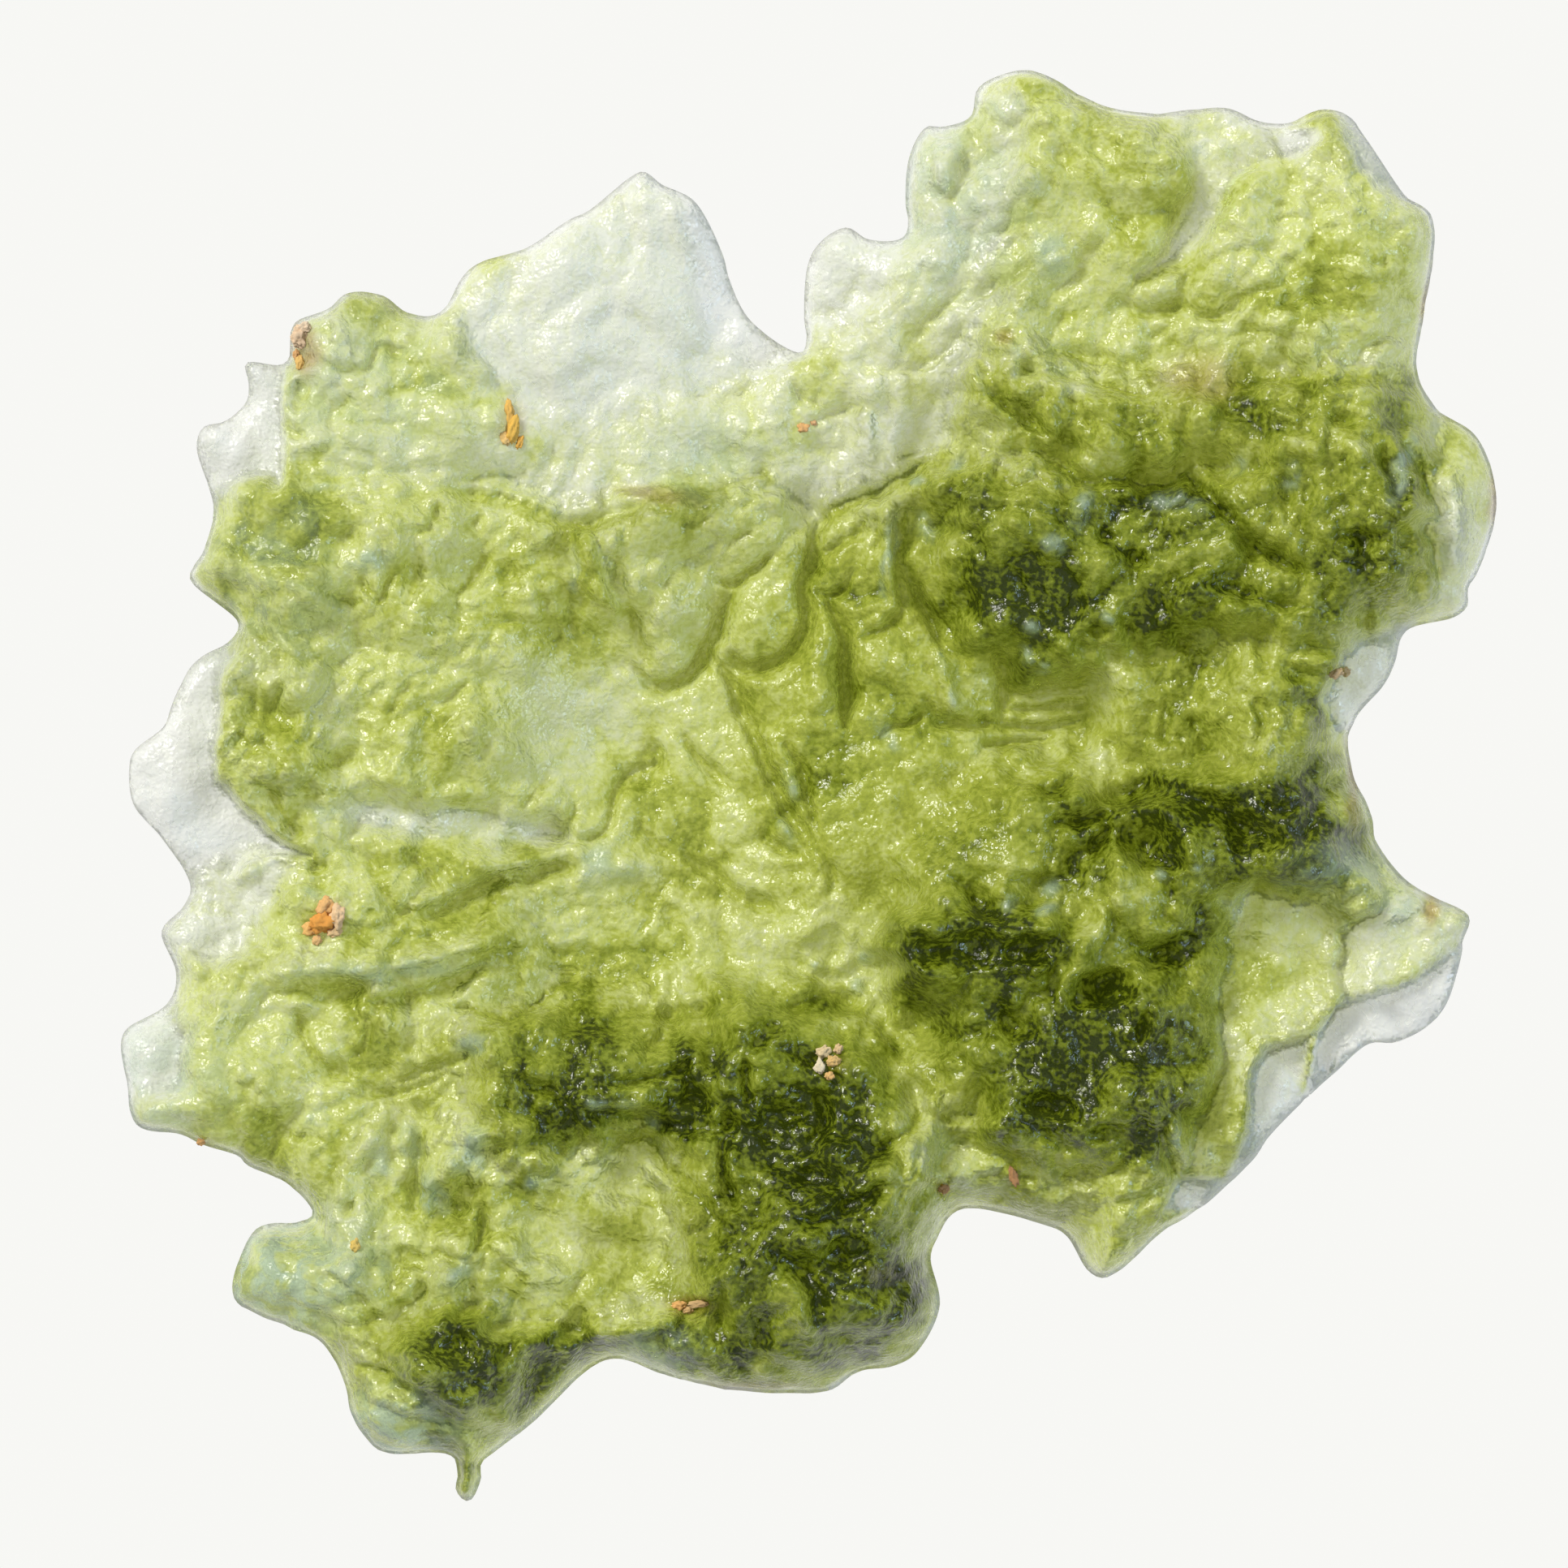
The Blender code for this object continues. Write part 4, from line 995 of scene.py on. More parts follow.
    def crested(self, places: Places, sway: Places) -> tuple[Places, Places]:
        """Height of the highest ridge at each place, less the depth of the deepest groove.

        Args:
            places: Where to measure.
            sway: The wandering offset there.

        Returns:
            Height at each place, and the narrower depth of shade at the grooves' roots.
        """
        raised, sunk, roots = (np.zeros(len(places)) for _ in range(3))
        for crest in CRESTS:
            half = crest.half_steps * GRID_MM
            line = swept_path(on_plate(crest.path))
            near = close_to(places, line, self.crest_reach * half + 0.1)
            far, side, along = path_distance(places[near] + self.crest_sway * sway[near], line)
            taper = np.sqrt(np.clip(along / (self.taper_run * half) + self.taper_end, 0, 1))
            share, sharp = self.ridge_flank if crest.height_mm > 0 else self.groove_flank
            width = half * (1 + crest.lean * side) * (0.5 + 0.5 * taper) * share
            height = crest.height_mm * taper * np.exp(-((far / width) ** sharp))
            height *= 1 + self.crest_swell * sway[near, 0]
            raised[near] = np.maximum(raised[near], height)
            sunk[near] = np.minimum(sunk[near], height)
            if crest.height_mm < 0:
                root = np.exp(-((far / (self.root_share * width)) ** 4))
                roots[near] = np.maximum(roots[near], -crest.height_mm * taper * root)
        return raised + sunk, roots

    def swayed_reach(self, places: Places, sway: Places, oval: Oval, limits: Spot) -> Places:
        """How far each place is from an oval's middle when the oval's edge wanders.

        Args:
            places: Where to measure.
            sway: The wandering offset there.
            oval: The oval.
            limits: Share of its short half width, and millimetres, that it wanders at most.

        Returns:
            Zero in the middle, one on the edge and more outside.
        """
        share, most = limits
        return oval_reach(places + min(share * oval.short_steps * GRID_MM, most) * sway, oval)

    def mounded(self, places: Places, sway: Places) -> Places:
        """Height of the lobes, less the depth of the opened bubbles.

        Args:
            places: Where to measure.
            sway: The wandering offset there.

        Returns:
            Height at each place.
        """
        height = np.zeros(len(places))
        for mound in MOUNDS:
            reach = self.swayed_reach(places, sway, mound, self.mound_sway)
            power = self.lobe_power if mound.amount > 0 else self.bubble_power
            height += mound.amount * np.maximum(1 - reach * reach, 0) ** power
        return height

    def stained(self, places: Places, sway: Places, kind: FilmOrGlint) -> Places:
        """How much of one kind of patch, soil stain or painted glint, lies at each place.

        Args:
            places: Where to measure.
            sway: The wandering offset there.
            kind: Which kind, soil stain or painted glint.

        Returns:
            Zero where the glass is clean, up to one.
        """
        film = np.zeros(len(places))
        for stain_or_glint in STAINS_AND_GLINTS[kind]:
            reach = self.swayed_reach(places, sway, stain_or_glint, self.stain_or_glint_sway)
            film = np.maximum(film, stain_or_glint.amount * eased(self.stain_or_glint_edge - reach))
        return film

    def etching(self, places: Places, layer: float) -> Places:
        """Fine relief of one side: wide cups full of small lobes with sharp furrows between them.

        Args:
            places: Where to measure.
            layer: Which noise field to start from.

        Returns:
            Height at each place, around zero.
        """
        sway = np.stack([smooth_noise(places, self.etch_sway_size, layer + k) for k in (5, 9)], 1)
        bent = places + self.etch_sway * sway
        relief = np.zeros(len(places))
        for height, size_mm, step, more in self.etch_cups:
            relief += height * cupped_noise(bent + more * sway, size_mm, layer + step)
        streak = bent @ np.array(self.streak_pull) * self.streak_scale
        return relief + self.streak_height * smooth_noise(streak, 1.0, layer + 3)

    def etch_gain(self, places: Places, zoned: Places) -> Places:
        """How strongly the fine relief shows: less where the glass is thin or smooth.

        Args:
            places: Where to measure.
            zoned: Zoned thickness there.

        Returns:
            A factor for each place.
        """
        gain = self.thin_etch + (1 - self.thin_etch) * eased(zoned / self.full_etch)
        for patch in PATCHES:
            gain *= 1 + (patch.amount - 1) * eased(1.6 - 1.3 * oval_reach(places, patch))
        return gain

    def relief(self, places: Places, sway: Places) -> Relief:
        """Reads everything that is drawn on the upper side.

        Args:
            places: Where to measure.
            sway: The wandering offset there.

        Returns:
            The relief at those places.
        """
        zoned = self.zoned_thickness(places, sway)
        crests, roots = self.crested(places, sway)
        mounds = self.mounded(places, sway)
        fine = self.etching(places, self.upper_layer)
        # furrows are never built as height: they only carry painted shade in the etch furrows
        furrows = np.maximum(-fine - self.furrow_start, 0)
        furrows *= eased((zoned - self.furrow_from) / self.furrow_run)
        return Relief(zoned, crests, roots, mounds, fine * self.etch_gain(places, zoned), furrows)

    def built_thickness(self, drawn: Relief) -> Places:
        """The thickness that is built as shape.

        Args:
            drawn: The relief of the upper side.

        Returns:
            Thickness at each place, before the edge is rounded off.
        """
        built = drawn.zoned - self.tall_loss * np.maximum(drawn.zoned - self.tall_start, 0)
        built += self.ridge_share * drawn.crests + self.lobe_share * drawn.mounds
        return built + self.etch_share * drawn.etched

    def green_with_painted_light(self, drawn: Relief, depth: Places) -> Places:
        """How deep the green looks: glass thickness, with painted highlights and painted shade on the
        relief.

        Args:
            drawn: The relief of the upper side.
            depth: How far inside the rim each place is.

        Returns:
            A depth of green for each place, painted highlights and shade included.
        """
        zoned, bulge = drawn.zoned, drawn.mounds + drawn.crests
        # painted highlights on lobes and ridges, painted shade in bubbles and in the roots of grooves
        painted_light = self.top_highlight * np.maximum(bulge, 0) + self.bubble_shade * np.minimum(drawn.mounds, 0)
        painted_light -= self.root_shade * drawn.roots
        contrast = self.thin_contrast
        contrast += self.thick_contrast * eased((zoned - self.contrast_from) / self.contrast_run)
        shoulder = self.round_shoulder(zoned, depth * self.edge_speed)
        plain = np.maximum(shoulder, self.edge_least * zoned)
        # painted shade in the etched cups, painted highlights on their crests
        looks = plain - np.where(depth > self.clear_edge, painted_light, 0) - contrast * drawn.etched
        looks = np.clip(looks, self.least_share * plain, self.most_share * plain)
        # painted shade in the etch furrows
        return looks + self.furrow_shade * drawn.furrows

    def underside(self, places: Places, thickness: Places) -> Places:
        """Height of the underside: flat on the resting spot, then rising in low swells.

        Args:
            places: Where to measure.
            thickness: Zoned thickness there.

        Returns:
            Height above the surface that the stone rests on.
        """
        out = (places - self.rest_centre) / self.rest_half
        beyond = np.maximum(np.linalg.norm(out, axis=1) - 1, 0)
        x, y = places.T
        broad, small = self.swells
        # crossing waves about 8 and 3 mm long, out of step with each other
        swell = broad * np.sin(0.83 * x + 0.6 * np.sin(0.41 * y)) * np.sin(0.71 * y + 0.9)
        swell += small * np.sin(1.9 * x + 1.3 * y) * np.cos(1.6 * y - 0.8 * x + 0.4)
        least, more, full = self.lower_etch
        swell += self.etching(places, self.lower_layer) * (least + more * eased(thickness / full))
        keel = self.keel_rise * (1 - np.exp(-((beyond / self.keel_reach) ** self.keel_power)))
        lift = keel + swell + self.lower_start + self.lower_share * (self.body - thickness)
        return eased(beyond / self.rest_fade) * np.maximum(lift, self.lower_least)

    def round_shoulder(self, thickness: Places, depth: Places) -> Places:
        """The thickness let down to the rim's along a round shoulder.

        Args:
            thickness: Thickness at each place.
            depth: How far inside the outline each place is.

        Returns:
            Thickness with the edge rounded off.
        """
        thickness = np.maximum(thickness, self.rim)
        run = self.edge_run_least + self.edge_run_share * thickness
        share = 1 - np.clip(depth / run, 0, 1)
        return self.rim + (thickness - self.rim) * np.sqrt(1 - share * share)

    def pulled_in(self, ring: Places) -> Places:
        """The clockwise ring moved inwards by the rim's rounding.

        Args:
            ring: Places along the outline.

        Returns:
            As many places, just inside it.
        """
        run = np.roll(ring, -2, axis=0) - np.roll(ring, 2, axis=0)
        run /= np.linalg.norm(run, axis=1)[:, None]
        return ring + self.rim_round * np.stack([run[:, 1], -run[:, 0]], axis=1)

    def lattice(self, ring: Places, facet: float) -> Places:
        """A loose triangular lattice that fills the ring.

        Args:
            ring: Places along the inside of the rim.
            facet: Length of a triangle's side.

        Returns:
            The lattice's places.
        """
        rng = np.random.default_rng(self.seed)
        low, high = ring.min(axis=0), ring.max(axis=0)
        rows = np.arange(low[1], high[1], facet * LATTICE_ROW)
        columns = np.arange(low[0], high[0], facet)
        grid = np.array([(x + facet * 0.5 * (k % 2), y) for k, y in enumerate(rows) for x in columns])
        grid += rng.uniform(-self.lattice_shake, self.lattice_shake, grid.shape) * facet
        return grid[depth_inside(grid, ring[:: self.ring_skip]) > self.lattice_gap * facet]

    def calm(self, places: Places) -> Places:
        """Marks the places where the skin is smooth enough for larger triangles."""
        zoned = self.zoned_thickness(places, np.zeros_like(places))
        return self.etch_gain(places, zoned) < self.calm_gain

    def upper_lattice(self, ring: Places) -> Places:
        """The upper side's lattice: fine in the etched parts, larger in the smooth ones.

        Args:
            ring: Places along the inside of the rim.

        Returns:
            The lattice's places.
        """
        fine = self.lattice(ring, self.upper_facet)
        loose = self.lattice(ring, self.calm_facet)
        return np.vstack([fine[~self.calm(fine)], loose[self.calm(loose)]])

    def sheet(self, ring: Places, grid: Places) -> tuple[Places, Places, Triangles]:
        """A flat sheet of triangles inside the ring.

        Args:
            ring: Places along the inside of the rim.
            grid: Places inside it.

        Returns:
            The sheet's places, the row of each ring place among them, and the triangles.
        """
        count = len(ring)
        flat, _, faces, origins, _, _ = delaunay_2d_cdt(
            [Vector(p) for p in np.vstack([ring, grid])], [], [list(range(count))], 1, 1e-7
        )
        found = {origin: k for k, group in enumerate(origins) for origin in group if origin < count}
        on_ring = np.array([found[k] for k in range(count)])
        return np.array([tuple(p) for p in flat]), on_ring, [tuple(f) for f in faces]

    def depths(self, places: Places, on_ring: Places, ring: Places) -> Places:
        """How far inside the rim each place is, and exactly zero on it.

        Args:
            places: The places of one sheet.
            on_ring: Rows of those that lie on the ring.
            ring: The ring.

        Returns:
            One distance for each place.
        """
        depth = np.maximum(depth_inside(places, ring[:: self.ring_skip]), 0)
        depth[on_ring] = 0
        return depth

    def rim_triangles(self, upper_ring: Places, lower_ring: Places, first_low: int,
                      first_rim: int) -> Triangles:
        """The two rows of triangles that join both sheets round the rim.

        Args:
            upper_ring: Rows of the ring's places in the upper sheet.
            lower_ring: Rows of the ring's places in the lower sheet.
            first_low: Number of the lower sheet's first vertex.
            first_rim: Number of the rim's first vertex.

        Returns:
            The triangles.
        """
        triangles = []
        count = len(upper_ring)
        for k in range(count):
            after = (k + 1) % count
            here, there = int(upper_ring[k]), int(upper_ring[after])
            under, next_under = int(lower_ring[k]) + first_low, int(lower_ring[after]) + first_low
            outer, next_outer = first_rim + k, first_rim + after
            triangles += [(outer, next_outer, there), (outer, there, here)]
            triangles += [(under, next_under, next_outer), (under, next_outer, outer)]
        return triangles

    def closed_mesh(self, spots: Places, triangles: Triangles) -> bpy.types.Mesh:
        """A smooth mesh with its faces turned outwards.

        Args:
            spots: Places of its vertices.
            triangles: Its faces.

        Returns:
            The mesh, in metres.
        """
        mesh = bpy.data.meshes.new("moldavite_skin")
        mesh.from_pydata((spots * MM).tolist(), [], triangles)
        builder = bmesh.new()
        builder.from_mesh(mesh)
        bmesh.ops.recalc_face_normals(builder, faces=builder.faces)
        builder.to_mesh(mesh)
        builder.free()
        mesh.shade_smooth()
        return mesh

    def skin(self) -> bpy.types.Mesh:
        """Builds the closed skin, with its green, painted shade and highlights, its soil stains and its
        painted glints.

        Returns:
            A mesh in metres, in the frame's own place.
        """
        rim = rounded_loop(on_plate(self.outline), self.rim_facet)
        ring = self.pulled_in(rim)
        upper, upper_ring, upper_faces = self.sheet(ring, self.upper_lattice(ring))
        lower, lower_ring, lower_faces = self.sheet(ring, self.lattice(ring, self.lower_facet))
        sway = self.wandered(upper)
        drawn = self.relief(upper, sway)
        depth = self.depths(upper, upper_ring, ring)
        thick = self.round_shoulder(self.built_thickness(drawn), depth)
        high = self.underside(upper, drawn.zoned) + thick
        low_zoned = self.zoned_thickness(lower, self.wandered(lower))
        low = self.underside(lower, low_zoned)
        middle = (low[lower_ring] + high[upper_ring]) / 2
        spots = np.vstack([np.column_stack([upper, high]), np.column_stack([lower, low]),
                           np.column_stack([rim, middle])])
        first_low, first_rim = len(upper), len(upper) + len(lower)
        turned = [(c + first_low, b + first_low, a + first_low) for a, b, c in lower_faces]
        joined = self.rim_triangles(upper_ring, lower_ring, first_low, first_rim)
        mesh = self.closed_mesh(spots, upper_faces + turned + joined)
        # glass thickness with painted highlights and painted shade
        looks = self.green_with_painted_light(drawn, depth)
        under = self.round_shoulder(low_zoned, self.depths(lower, lower_ring, ring))
        carried = {GREEN_WITH_PAINTED_LIGHT: (np.clip(looks, self.palest, DEEPEST_MM) / DEEPEST_MM,
                                 under / DEEPEST_MM, looks[upper_ring] / DEEPEST_MM)}
        # soil stains and painted glints, each carried as an attribute
        for kind in FilmOrGlint:
            film = self.stained(upper, sway, kind)
            carried[kind.value] = (film, np.zeros(len(lower)), film[upper_ring])
        for name, parts in carried.items():
            layer = mesh.attributes.new(name, "FLOAT", "POINT")
            layer.data.foreach_set("value", np.concatenate(parts))
        return mesh


@dataclass(frozen=True)
class EtchedGlass:
    """Moldavite glass, quenched from a melt and then etched for ages in acid soil.

    The eye sees clear olive glass that pales to nothing at the thin edges, under a satin skin
    that is a little cloudy with tiny pits, so the relief catches the light.
    """

    name: str = "moldavite_natural_glass_etched"
    ior: float = 1.49
    clearness: float = 0.58
    polish: float = 0.22
    absorption: tuple[float, float, float] = (0.66, 0.71, 0.12)
    density: float = 120.0
    # skin colour by the depth in millimetres that the green seems to have
    tones: tuple[tuple[float, str], ...] = (
        (0.36, "#FCFDFB"), (0.75, "#F8FBEE"), (1.15, "#EDF2CA"), (2.0, "#E1E994"),
        (3.0, "#C0CA54"), (4.7, "#8F9D2E"), (5.8, "#6B7812"), (7.0, "#283205"),
    )
    soil_colour: str = "#C08A45"
    # colour of the painted glints and painted sky reflection
    glint_colour: str = "#BCD2C6"
    # pits a seventh of a millimetre wide, with smaller ones among them
    pits_per_mm: float = 7.0
    pit_depth_mm: float = 0.08
    pit_bump: float = 0.7
    pit_range: tuple[float, float] = (0.36, 0.64)
    pit_shade: float = 0.20
    # flow bands half a millimetre apart
    bands_per_mm: float = 2.1
    band_shade: tuple[float, float] = (0.78, 1.20)
    haze_range: tuple[float, float] = (0.3, 0.7)
    haze: tuple[float, float] = (0.16, 0.34)
    # where on the flow-band noise the painted glints show fully, and their least share
    glint_range: tuple[float, float] = (0.42, 0.56)
    glint_least: float = 0.25

    def skin_colour(self, tree: bpy.types.NodeTree, bands: bpy.types.NodeSocket,
                    pits: bpy.types.NodeSocket) -> bpy.types.NodeSocket:
        """Colour of the skin: green by depth with flow bands, grain and painted pit shade, then soil
        and painted glints.

        Args:
            tree: The material's nodes.
            bands: Noise of the flow bands.
            pits: Noise of the fine pits.

        Returns:
            The socket that gives the colour.
        """
        depth, iron, glint = (
            add_node(tree, "ShaderNodeAttribute", {"attribute_name": name}).outputs["Fac"]
            for name in (GREEN_WITH_PAINTED_LIGHT, FilmOrGlint.IRON.value, FilmOrGlint.GLINT.value)
        )
        low, high = self.band_shade
        uneven = add_node(tree, "ShaderNodeMapRange", {"To Min": low, "To Max": high}, {"Value": bands})
        # painted shade: each pit is darker at its bottom and paler where it rises, which also gives the
        # skin its fine grain
        low, high = self.pit_range
        grain = add_node(tree, "ShaderNodeMapRange",
                         {"From Min": low, "From Max": high, "To Min": 1.0 + self.pit_shade,
                          "To Max": 1.0 - self.pit_shade}, {"Value": pits})
        factor = add_node(tree, "ShaderNodeMath", {"operation": "MULTIPLY"},
                          {0: uneven.outputs["Result"], 1: grain.outputs["Result"]})
        seen = add_node(tree, "ShaderNodeMath", {"operation": "MULTIPLY"},
                        {0: depth, 1: factor.outputs["Value"]})
        green = add_node(tree, "ShaderNodeValToRGB", {}, {"Fac": seen.outputs["Value"]})
        ramp = green.color_ramp
        while len(ramp.elements) < len(self.tones):
            ramp.elements.new(0.5)
        for element, (deep, code) in zip(ramp.elements, self.tones):
            element.position = deep / DEEPEST_MM
            element.color = srgb(code)
        soiled = add_node(tree, "ShaderNodeMix",
                          {"data_type": "RGBA", "blend_type": "MULTIPLY", 7: srgb(self.soil_colour)},
                          {0: iron, 6: green.outputs["Color"]})
        # painted glints show fully only where the flow-band noise runs high
        low, high = self.glint_range
        painted_light = add_node(tree, "ShaderNodeMapRange",
                        {"From Min": low, "From Max": high, "To Min": self.glint_least, "To Max": 1.0},
                        {"Value": bands})
        amount = add_node(tree, "ShaderNodeMath", {"operation": "MULTIPLY"},
                          {0: painted_light.outputs["Result"], 1: glint})
        glinted = add_node(tree, "ShaderNodeMix", {"data_type": "RGBA", 7: srgb(self.glint_colour)},
                           {0: amount.outputs["Value"], 6: soiled.outputs[2]})
        return glinted.outputs[2]

    def material(self) -> bpy.types.Material:
        """Builds the glass: plain transmission and absorption under an etched, satin skin.

        Returns:
            The material.
        """
        material, tree, shader = new_material(self.name)
        place = add_node(tree, "ShaderNodeTexCoord").outputs["Object"]
        pits = add_node(tree, "ShaderNodeTexNoise",
                        {"Scale": self.pits_per_mm / MM, "Detail": 1.5, "Roughness": 0.6},
                        {"Vector": place}).outputs["Fac"]
        bands = add_node(tree, "ShaderNodeTexNoise",
                         {"Scale": self.bands_per_mm / MM, "Detail": 2.0, "Roughness": 0.55},
                         {"Vector": place}).outputs["Fac"]
        colour = self.skin_colour(tree, bands, pits)
        bump = add_node(tree, "ShaderNodeBump",
                        {"Strength": self.pit_bump, "Distance": self.pit_depth_mm * MM},
                        {"Height": pits})
        low, high = self.haze_range
        least, most = self.haze
        haze = add_node(tree, "ShaderNodeMapRange",
                        {"From Min": low, "From Max": high, "To Min": least, "To Max": most},
                        {"Value": bands})
        set_node(tree, shader,
                 {"IOR": self.ior, "Transmission Weight": self.clearness,
                  "Specular IOR Level": self.polish},
                 {"Base Color": colour, "Normal": bump.outputs["Normal"],
                  "Roughness": haze.outputs["Result"]})
        volume = add_node(tree, "ShaderNodeVolumeAbsorption",
                          {"Color": (*self.absorption, 1.0), "Density": self.density})
        tree.links.new(volume.outputs["Volume"], tree.nodes["Material Output"].inputs["Volume"])
        return material


@dataclass(frozen=True)
class DryClay:
    """Iron-stained clay that dried in the pits: matt, crumbly and a little uneven in colour."""

    name: str
    colour: str
    roughness: float = 0.92
    roughness_spread: float = 0.15
    shine: float = 0.25
    dark_share: float = 0.62
    # silt a thirtieth of a millimetre across, drawn twice as coarse so that it shows
    silt_per_mm: float = 15.0
    silt_depth_mm: float = 0.02
    silt_bump: float = 0.8

    def material(self) -> bpy.types.Material:
        """Builds the clay.

        Returns:
            The material.
        """
        material, tree, shader = new_material(self.name)
        place = add_node(tree, "ShaderNodeTexCoord").outputs["Object"]
        silt = add_node(tree, "ShaderNodeTexNoise",
                        {"Scale": self.silt_per_mm / MM, "Detail": 5.0, "Roughness": 0.7},
                        {"Vector": place}).outputs["Fac"]
        dark = tuple(c * self.dark_share for c in srgb(self.colour)[:3])
        mixed = add_node(tree, "ShaderNodeMix",
                         {"data_type": "RGBA", 6: (*dark, 1.0), 7: srgb(self.colour)}, {0: silt})
        rough = add_node(tree, "ShaderNodeMapRange",
                         {"To Min": self.roughness - self.roughness_spread,
                          "To Max": self.roughness}, {"Value": silt})
        bump = add_node(tree, "ShaderNodeBump",
                        {"Strength": self.silt_bump, "Distance": self.silt_depth_mm * MM},
                        {"Height": silt})
        set_node(tree, shader, {"Specular IOR Level": self.shine},
                 {"Base Color": mixed.outputs[2], "Roughness": rough.outputs["Result"],
                  "Normal": bump.outputs["Normal"]})
        return material


@dataclass(frozen=True)
class OpalSheet:
    """Matt white opal sheet, lit evenly from below so that thin glass on it stays bright."""

    name: str = "opal_sheet_white_matt"
    colour: str = "#F2F2EF"
    # the sheet's own light drowns what falls on it, as on any light table
    own_colour: str = "#000000"
    roughness: float = 0.9
    glow: float = 1.05

    def material(self) -> bpy.types.Material:
        """Builds the sheet's plain material.

        Returns:
            The material.
        """
        material, tree, shader = new_material(self.name)
        set_node(tree, shader,
                 {"Base Color": srgb(self.own_colour), "Roughness": self.roughness,
                  "Specular IOR Level": 0.0, "Emission Color": srgb(self.colour),
                  "Emission Strength": self.glow})
        # every ray that leaves the stone downwards meets the sheet anyway
        material.cycles.emission_sampling = "NONE"
        return material


@dataclass
class ClayCrumbs:
    """Grains of clay caught in the stone's relief, each sunk a little into its pit."""

    crumbs: tuple[Crumb, ...] = CRUMBS
    sunk_share: float = 0.25
    flatness: float = 0.7
    bumpiness: float = 0.34 * 1.6
    # widths and heights of the lumps, the last folded into creases
    lump_scales: tuple[float, float, float] = (1.6, 4.2, 9.0)
    lump_heights: tuple[float, float] = (0.5, 0.3)
    layer_step: float = 3.7
    seat_reach_mm: float = 0.12

    def one(self, crumb: Crumb, place: Vector, layer: float) -> bpy.types.Mesh:
        """Builds one crumb.

        Args:
            crumb: Its size and turn.
            place: Where it sits on the skin, in metres.
            layer: Which noise field gives its lumps.

        Returns:
            A closed, lumpy mesh.
        """
        builder = bmesh.new()
        bmesh.ops.create_icosphere(builder, subdivisions=4, radius=1.0)
        step = GRID_MM * MM
        turn = math.radians(crumb.turn_deg)
        tall = min(crumb.long_steps, crumb.short_steps) * step * self.flatness
        broad, small, fine = self.lump_scales
        less, least = self.lump_heights
        for vert in builder.verts:
            lump = noise.noise(vert.co * broad + Vector((0, 0, layer)))
            lump += less * noise.noise(vert.co * small + Vector((7, 0, layer)))
            lump += least * abs(noise.noise(vert.co * fine + Vector((3, 5, layer))))
            out = vert.co * (1 + self.bumpiness * lump)
            x, y = out.x * crumb.long_steps * step, out.y * crumb.short_steps * step
            vert.co = place + Vector((x * math.cos(turn) - y * math.sin(turn),
                                      x * math.sin(turn) + y * math.cos(turn),
                                      (out.z + 1 - 2 * self.sunk_share) * tall))
        mesh = bpy.data.meshes.new("clay_crumb")
        builder.to_mesh(mesh)
        builder.free()
        mesh.shade_smooth()
        return mesh

    def build(self, skin: bpy.types.Mesh) -> list[bpy.types.Object]:
        """Sets every crumb on the skin.

        Args:
            skin: The stone's skin.

        Returns:
            The crumbs, already riding on the stone's body.
        """
        spots = np.empty(len(skin.vertices) * 3)
        skin.vertices.foreach_get("co", spots)
        spots = spots.reshape(-1, 3)
        pieces = []
        for number, crumb in enumerate(self.crumbs, 1):
            x, y = on_plate(crumb.centre) * MM
            off = np.hypot(spots[:, 0] - x, spots[:, 1] - y)
            close = spots[off < self.seat_reach_mm * MM]
            height = close[:, 2].max() if len(close) else spots[np.argmin(off), 2]
            mesh = self.one(crumb, Vector((x, y, height)), number * self.layer_step)
            mesh.materials.append(DryClay(f"clay_dried_crumb_{number:02d}", crumb.colour).material())
            piece = put_in_scene(f"clay_crumb_{number:02d}", mesh)
            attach(piece, BODY)
            pieces.append(piece)
        return pieces


@dataclass
class Moldavite:
    """The stone and what clings to it."""

    form: StoneForm = field(default_factory=StoneForm)
    glass: EtchedGlass = field(default_factory=EtchedGlass)
    clay: ClayCrumbs = field(default_factory=ClayCrumbs)

    def build(self) -> list[bpy.types.Object]:
        """Builds and dresses the pieces.

        Returns:
            The pieces, already riding on the stone's body.
        """
        skin = self.form.skin()
        skin.materials.append(self.glass.material())
        stone = put_in_scene("moldavite_stone", skin)
        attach(stone, BODY)
        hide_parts(NODE)
        return [stone, *self.clay.build(skin)]


@dataclass(frozen=True)
class SoftBox:
    """A round soft light aimed at the stone: its direction, half width, brightness and tint."""

    name: str
    towards: tuple[float, float, float]
    half_deg: float
    glow: float
    tint: str
    distance: float = 0.6

    def hang(self) -> bpy.types.Object:
        """Hangs the light.

        Returns:
            The light.
        """
        data = bpy.data.lights.new(self.name, "AREA")
        data.shape = "DISK"
        radius = self.distance * math.tan(math.radians(self.half_deg))
        data.size = 2 * radius
        data.color = srgb(self.tint)[:3]
        data.energy = self.glow * math.pi * math.pi * radius * radius
        light = put_in_scene(self.name, data)
        towards = Vector(self.towards).normalized()
        light.location = towards * self.distance
        light.rotation_euler = towards.to_track_quat("Z", "Y").to_euler()
        return light


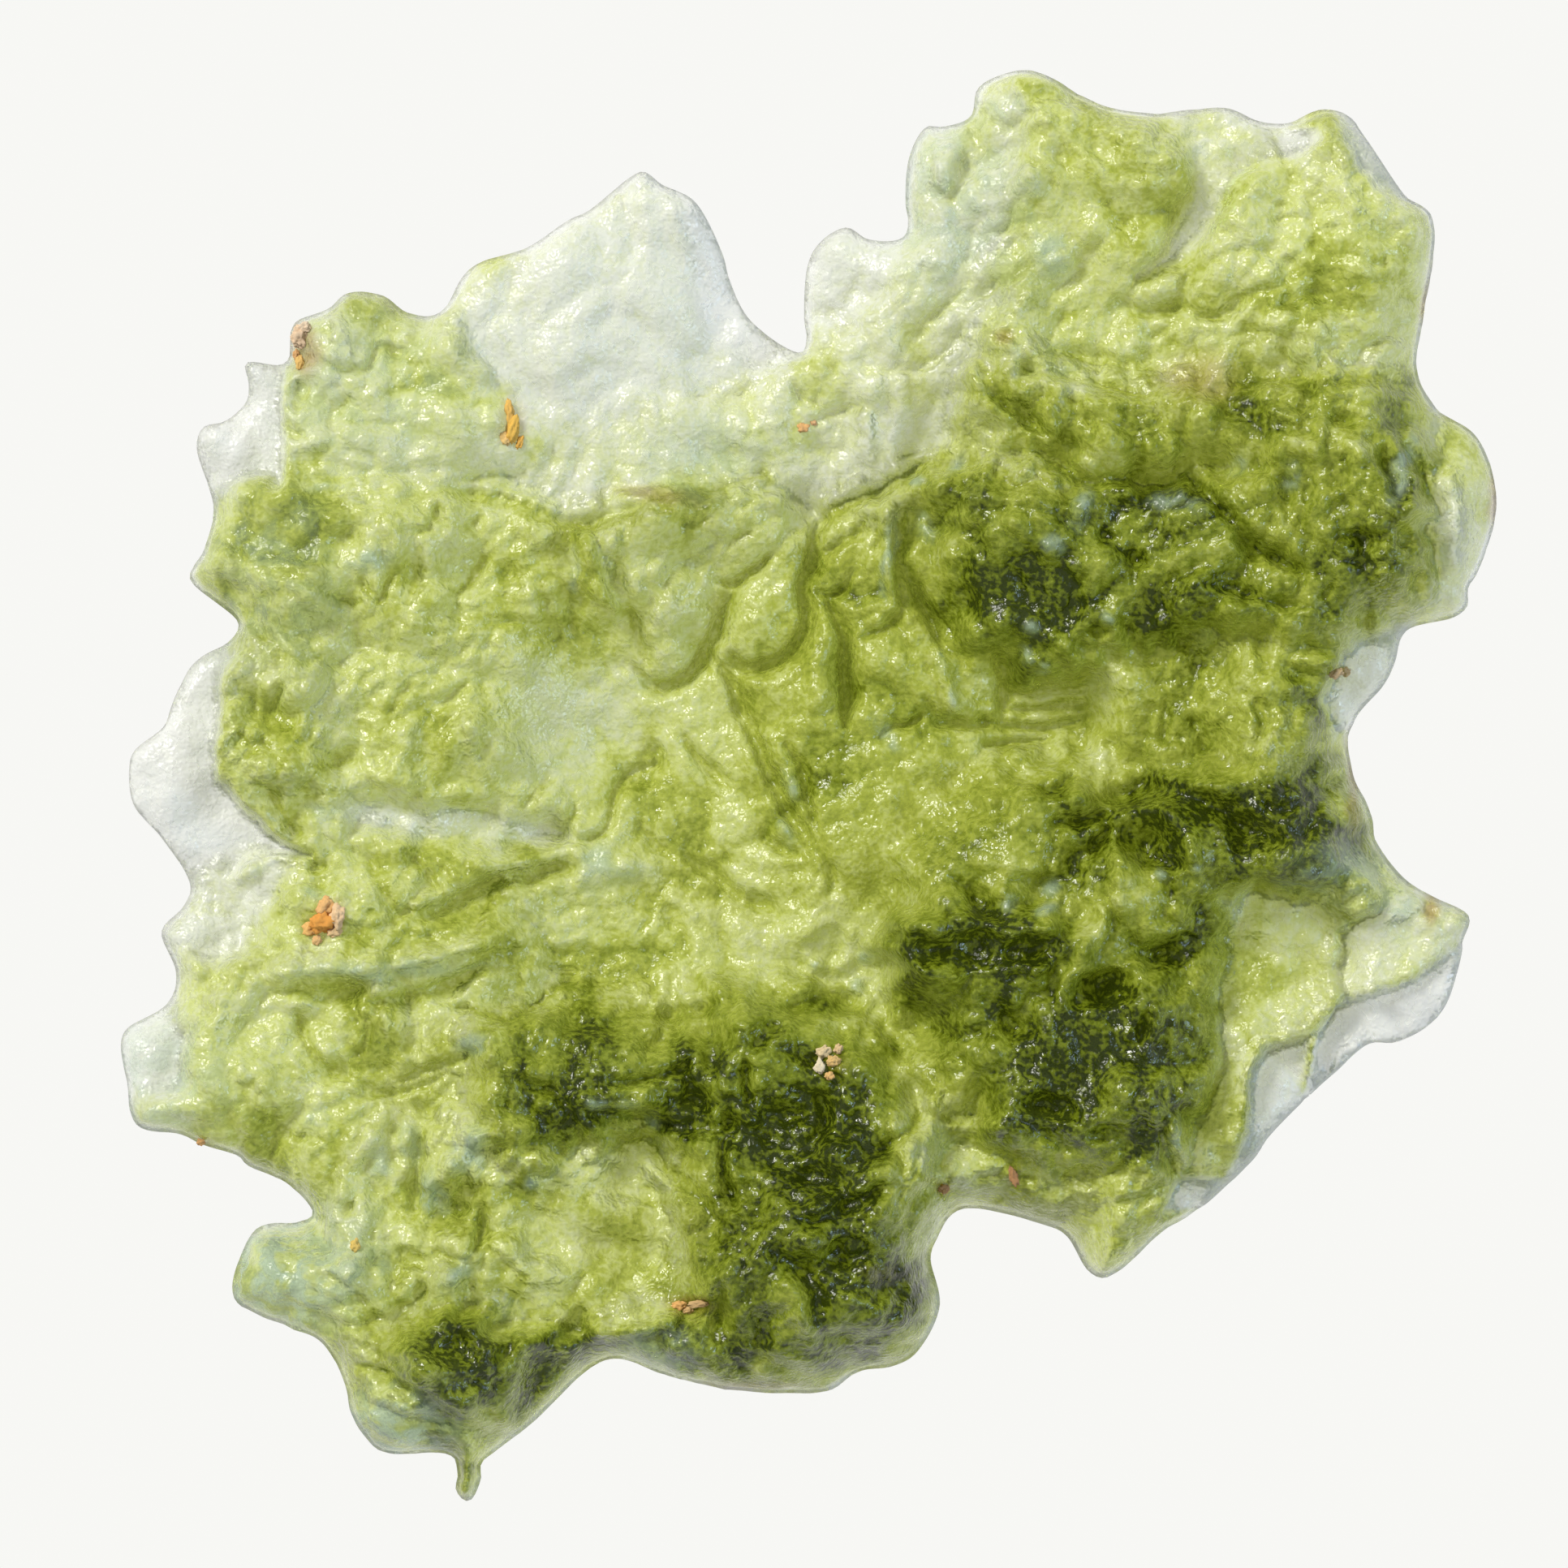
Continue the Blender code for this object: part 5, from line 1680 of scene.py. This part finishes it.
@dataclass
class Studio:
    """An opal sheet under a soft dome, with the camera on a copy stand."""

    sheet_side: float = 0.9
    sheet_drop: float = 0.00006
    opal: OpalSheet = field(default_factory=OpalSheet)
    lens_mm: float = 180.0
    sensor_mm: float = 36.0
    focus_height_mm: float = 3.8
    sight: tuple[float, float] = (0.001, 20.0)
    tent_glow: float = 0.44
    tent_zenith: float = 0.12
    # where the tent's mouth begins and ends, as heights on a dome one high
    tent_mouth: tuple[float, float] = (0.84, 0.96)
    tent_tint: str = "#FBFCFF"
    boxes: tuple[SoftBox, ...] = (
        SoftBox("softbox_upper_left", (-0.56, 0.58, 0.72), 9.0, 40.0, "#FFFDF6"),
        SoftBox("softbox_right", (0.86, -0.16, 0.44), 8.0, 16.0, "#BCDCFF"),
    )

    def floor(self) -> bpy.types.Object:
        """Lays the sheet just under the stone.

        Returns:
            The floor.
        """
        half = self.sheet_side / 2
        corners = [(-half, -half), (half, -half), (half, half), (-half, half)]
        mesh = bpy.data.meshes.new("opal_sheet")
        mesh.from_pydata([(x, y, -self.sheet_drop) for x, y in corners], [], [(0, 1, 2, 3)])
        mesh.materials.append(self.opal.material())
        sheet = put_in_scene("opal_floor", mesh)
        return sheet

    def camera(self) -> bpy.types.Object:
        """Hangs the camera over the middle of the photograph's frame.

        Returns:
            The camera.
        """
        data = bpy.data.cameras.new("copy_stand_camera")
        data.lens = self.lens_mm
        data.sensor_width = self.sensor_mm
        data.clip_start, data.clip_end = self.sight
        camera = put_in_scene("copy_stand_camera", data)
        x, y = on_plate((PHOTO_STEPS / 2, PHOTO_STEPS / 2)) * MM
        away = PHOTO_STEPS * GRID_MM * self.lens_mm / self.sensor_mm
        camera.location = (x, y, (away + self.focus_height_mm) * MM)
        bpy.context.scene.camera = camera
        return camera

    def dome(self) -> bpy.types.World:
        """An even white tent all round, open at the top where the camera looks in.

        Returns:
            The world.
        """
        world = bpy.data.worlds.new("studio_tent")
        world.use_nodes = True
        tree = world.node_tree
        direction = add_node(tree, "ShaderNodeTexCoord").outputs["Generated"]
        parts = add_node(tree, "ShaderNodeSeparateXYZ", {}, {"Vector": direction})
        low, high = self.tent_mouth
        tent = add_node(tree, "ShaderNodeMapRange",
                        {"From Min": low, "From Max": high, "To Min": self.tent_glow,
                         "To Max": self.tent_zenith}, {"Value": parts.outputs["Z"]})
        set_node(tree, tree.nodes["Background"], {"Color": srgb(self.tent_tint)},
                 {"Strength": tent.outputs["Result"]})
        # the tent is so even that rays find it by themselves
        world.cycles.sampling_method = "NONE"
        bpy.context.scene.world = world
        return world


def main() -> None:
    """Builds the stone and its studio."""
    logging.basicConfig(level=logging.INFO, format="%(name)s: %(message)s")
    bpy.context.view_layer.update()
    for piece in Moldavite().build():
        log.info("%s: %d faces", piece.name, len(piece.data.polygons))
    studio = Studio()
    lights = [box.hang() for box in studio.boxes]
    for made in (studio.floor(), studio.camera(), studio.dome(), *lights):
        log.info("%s placed", made.name)
    bpy.context.scene.view_settings.view_transform = "Standard"


if __name__ == "__main__":
    main()
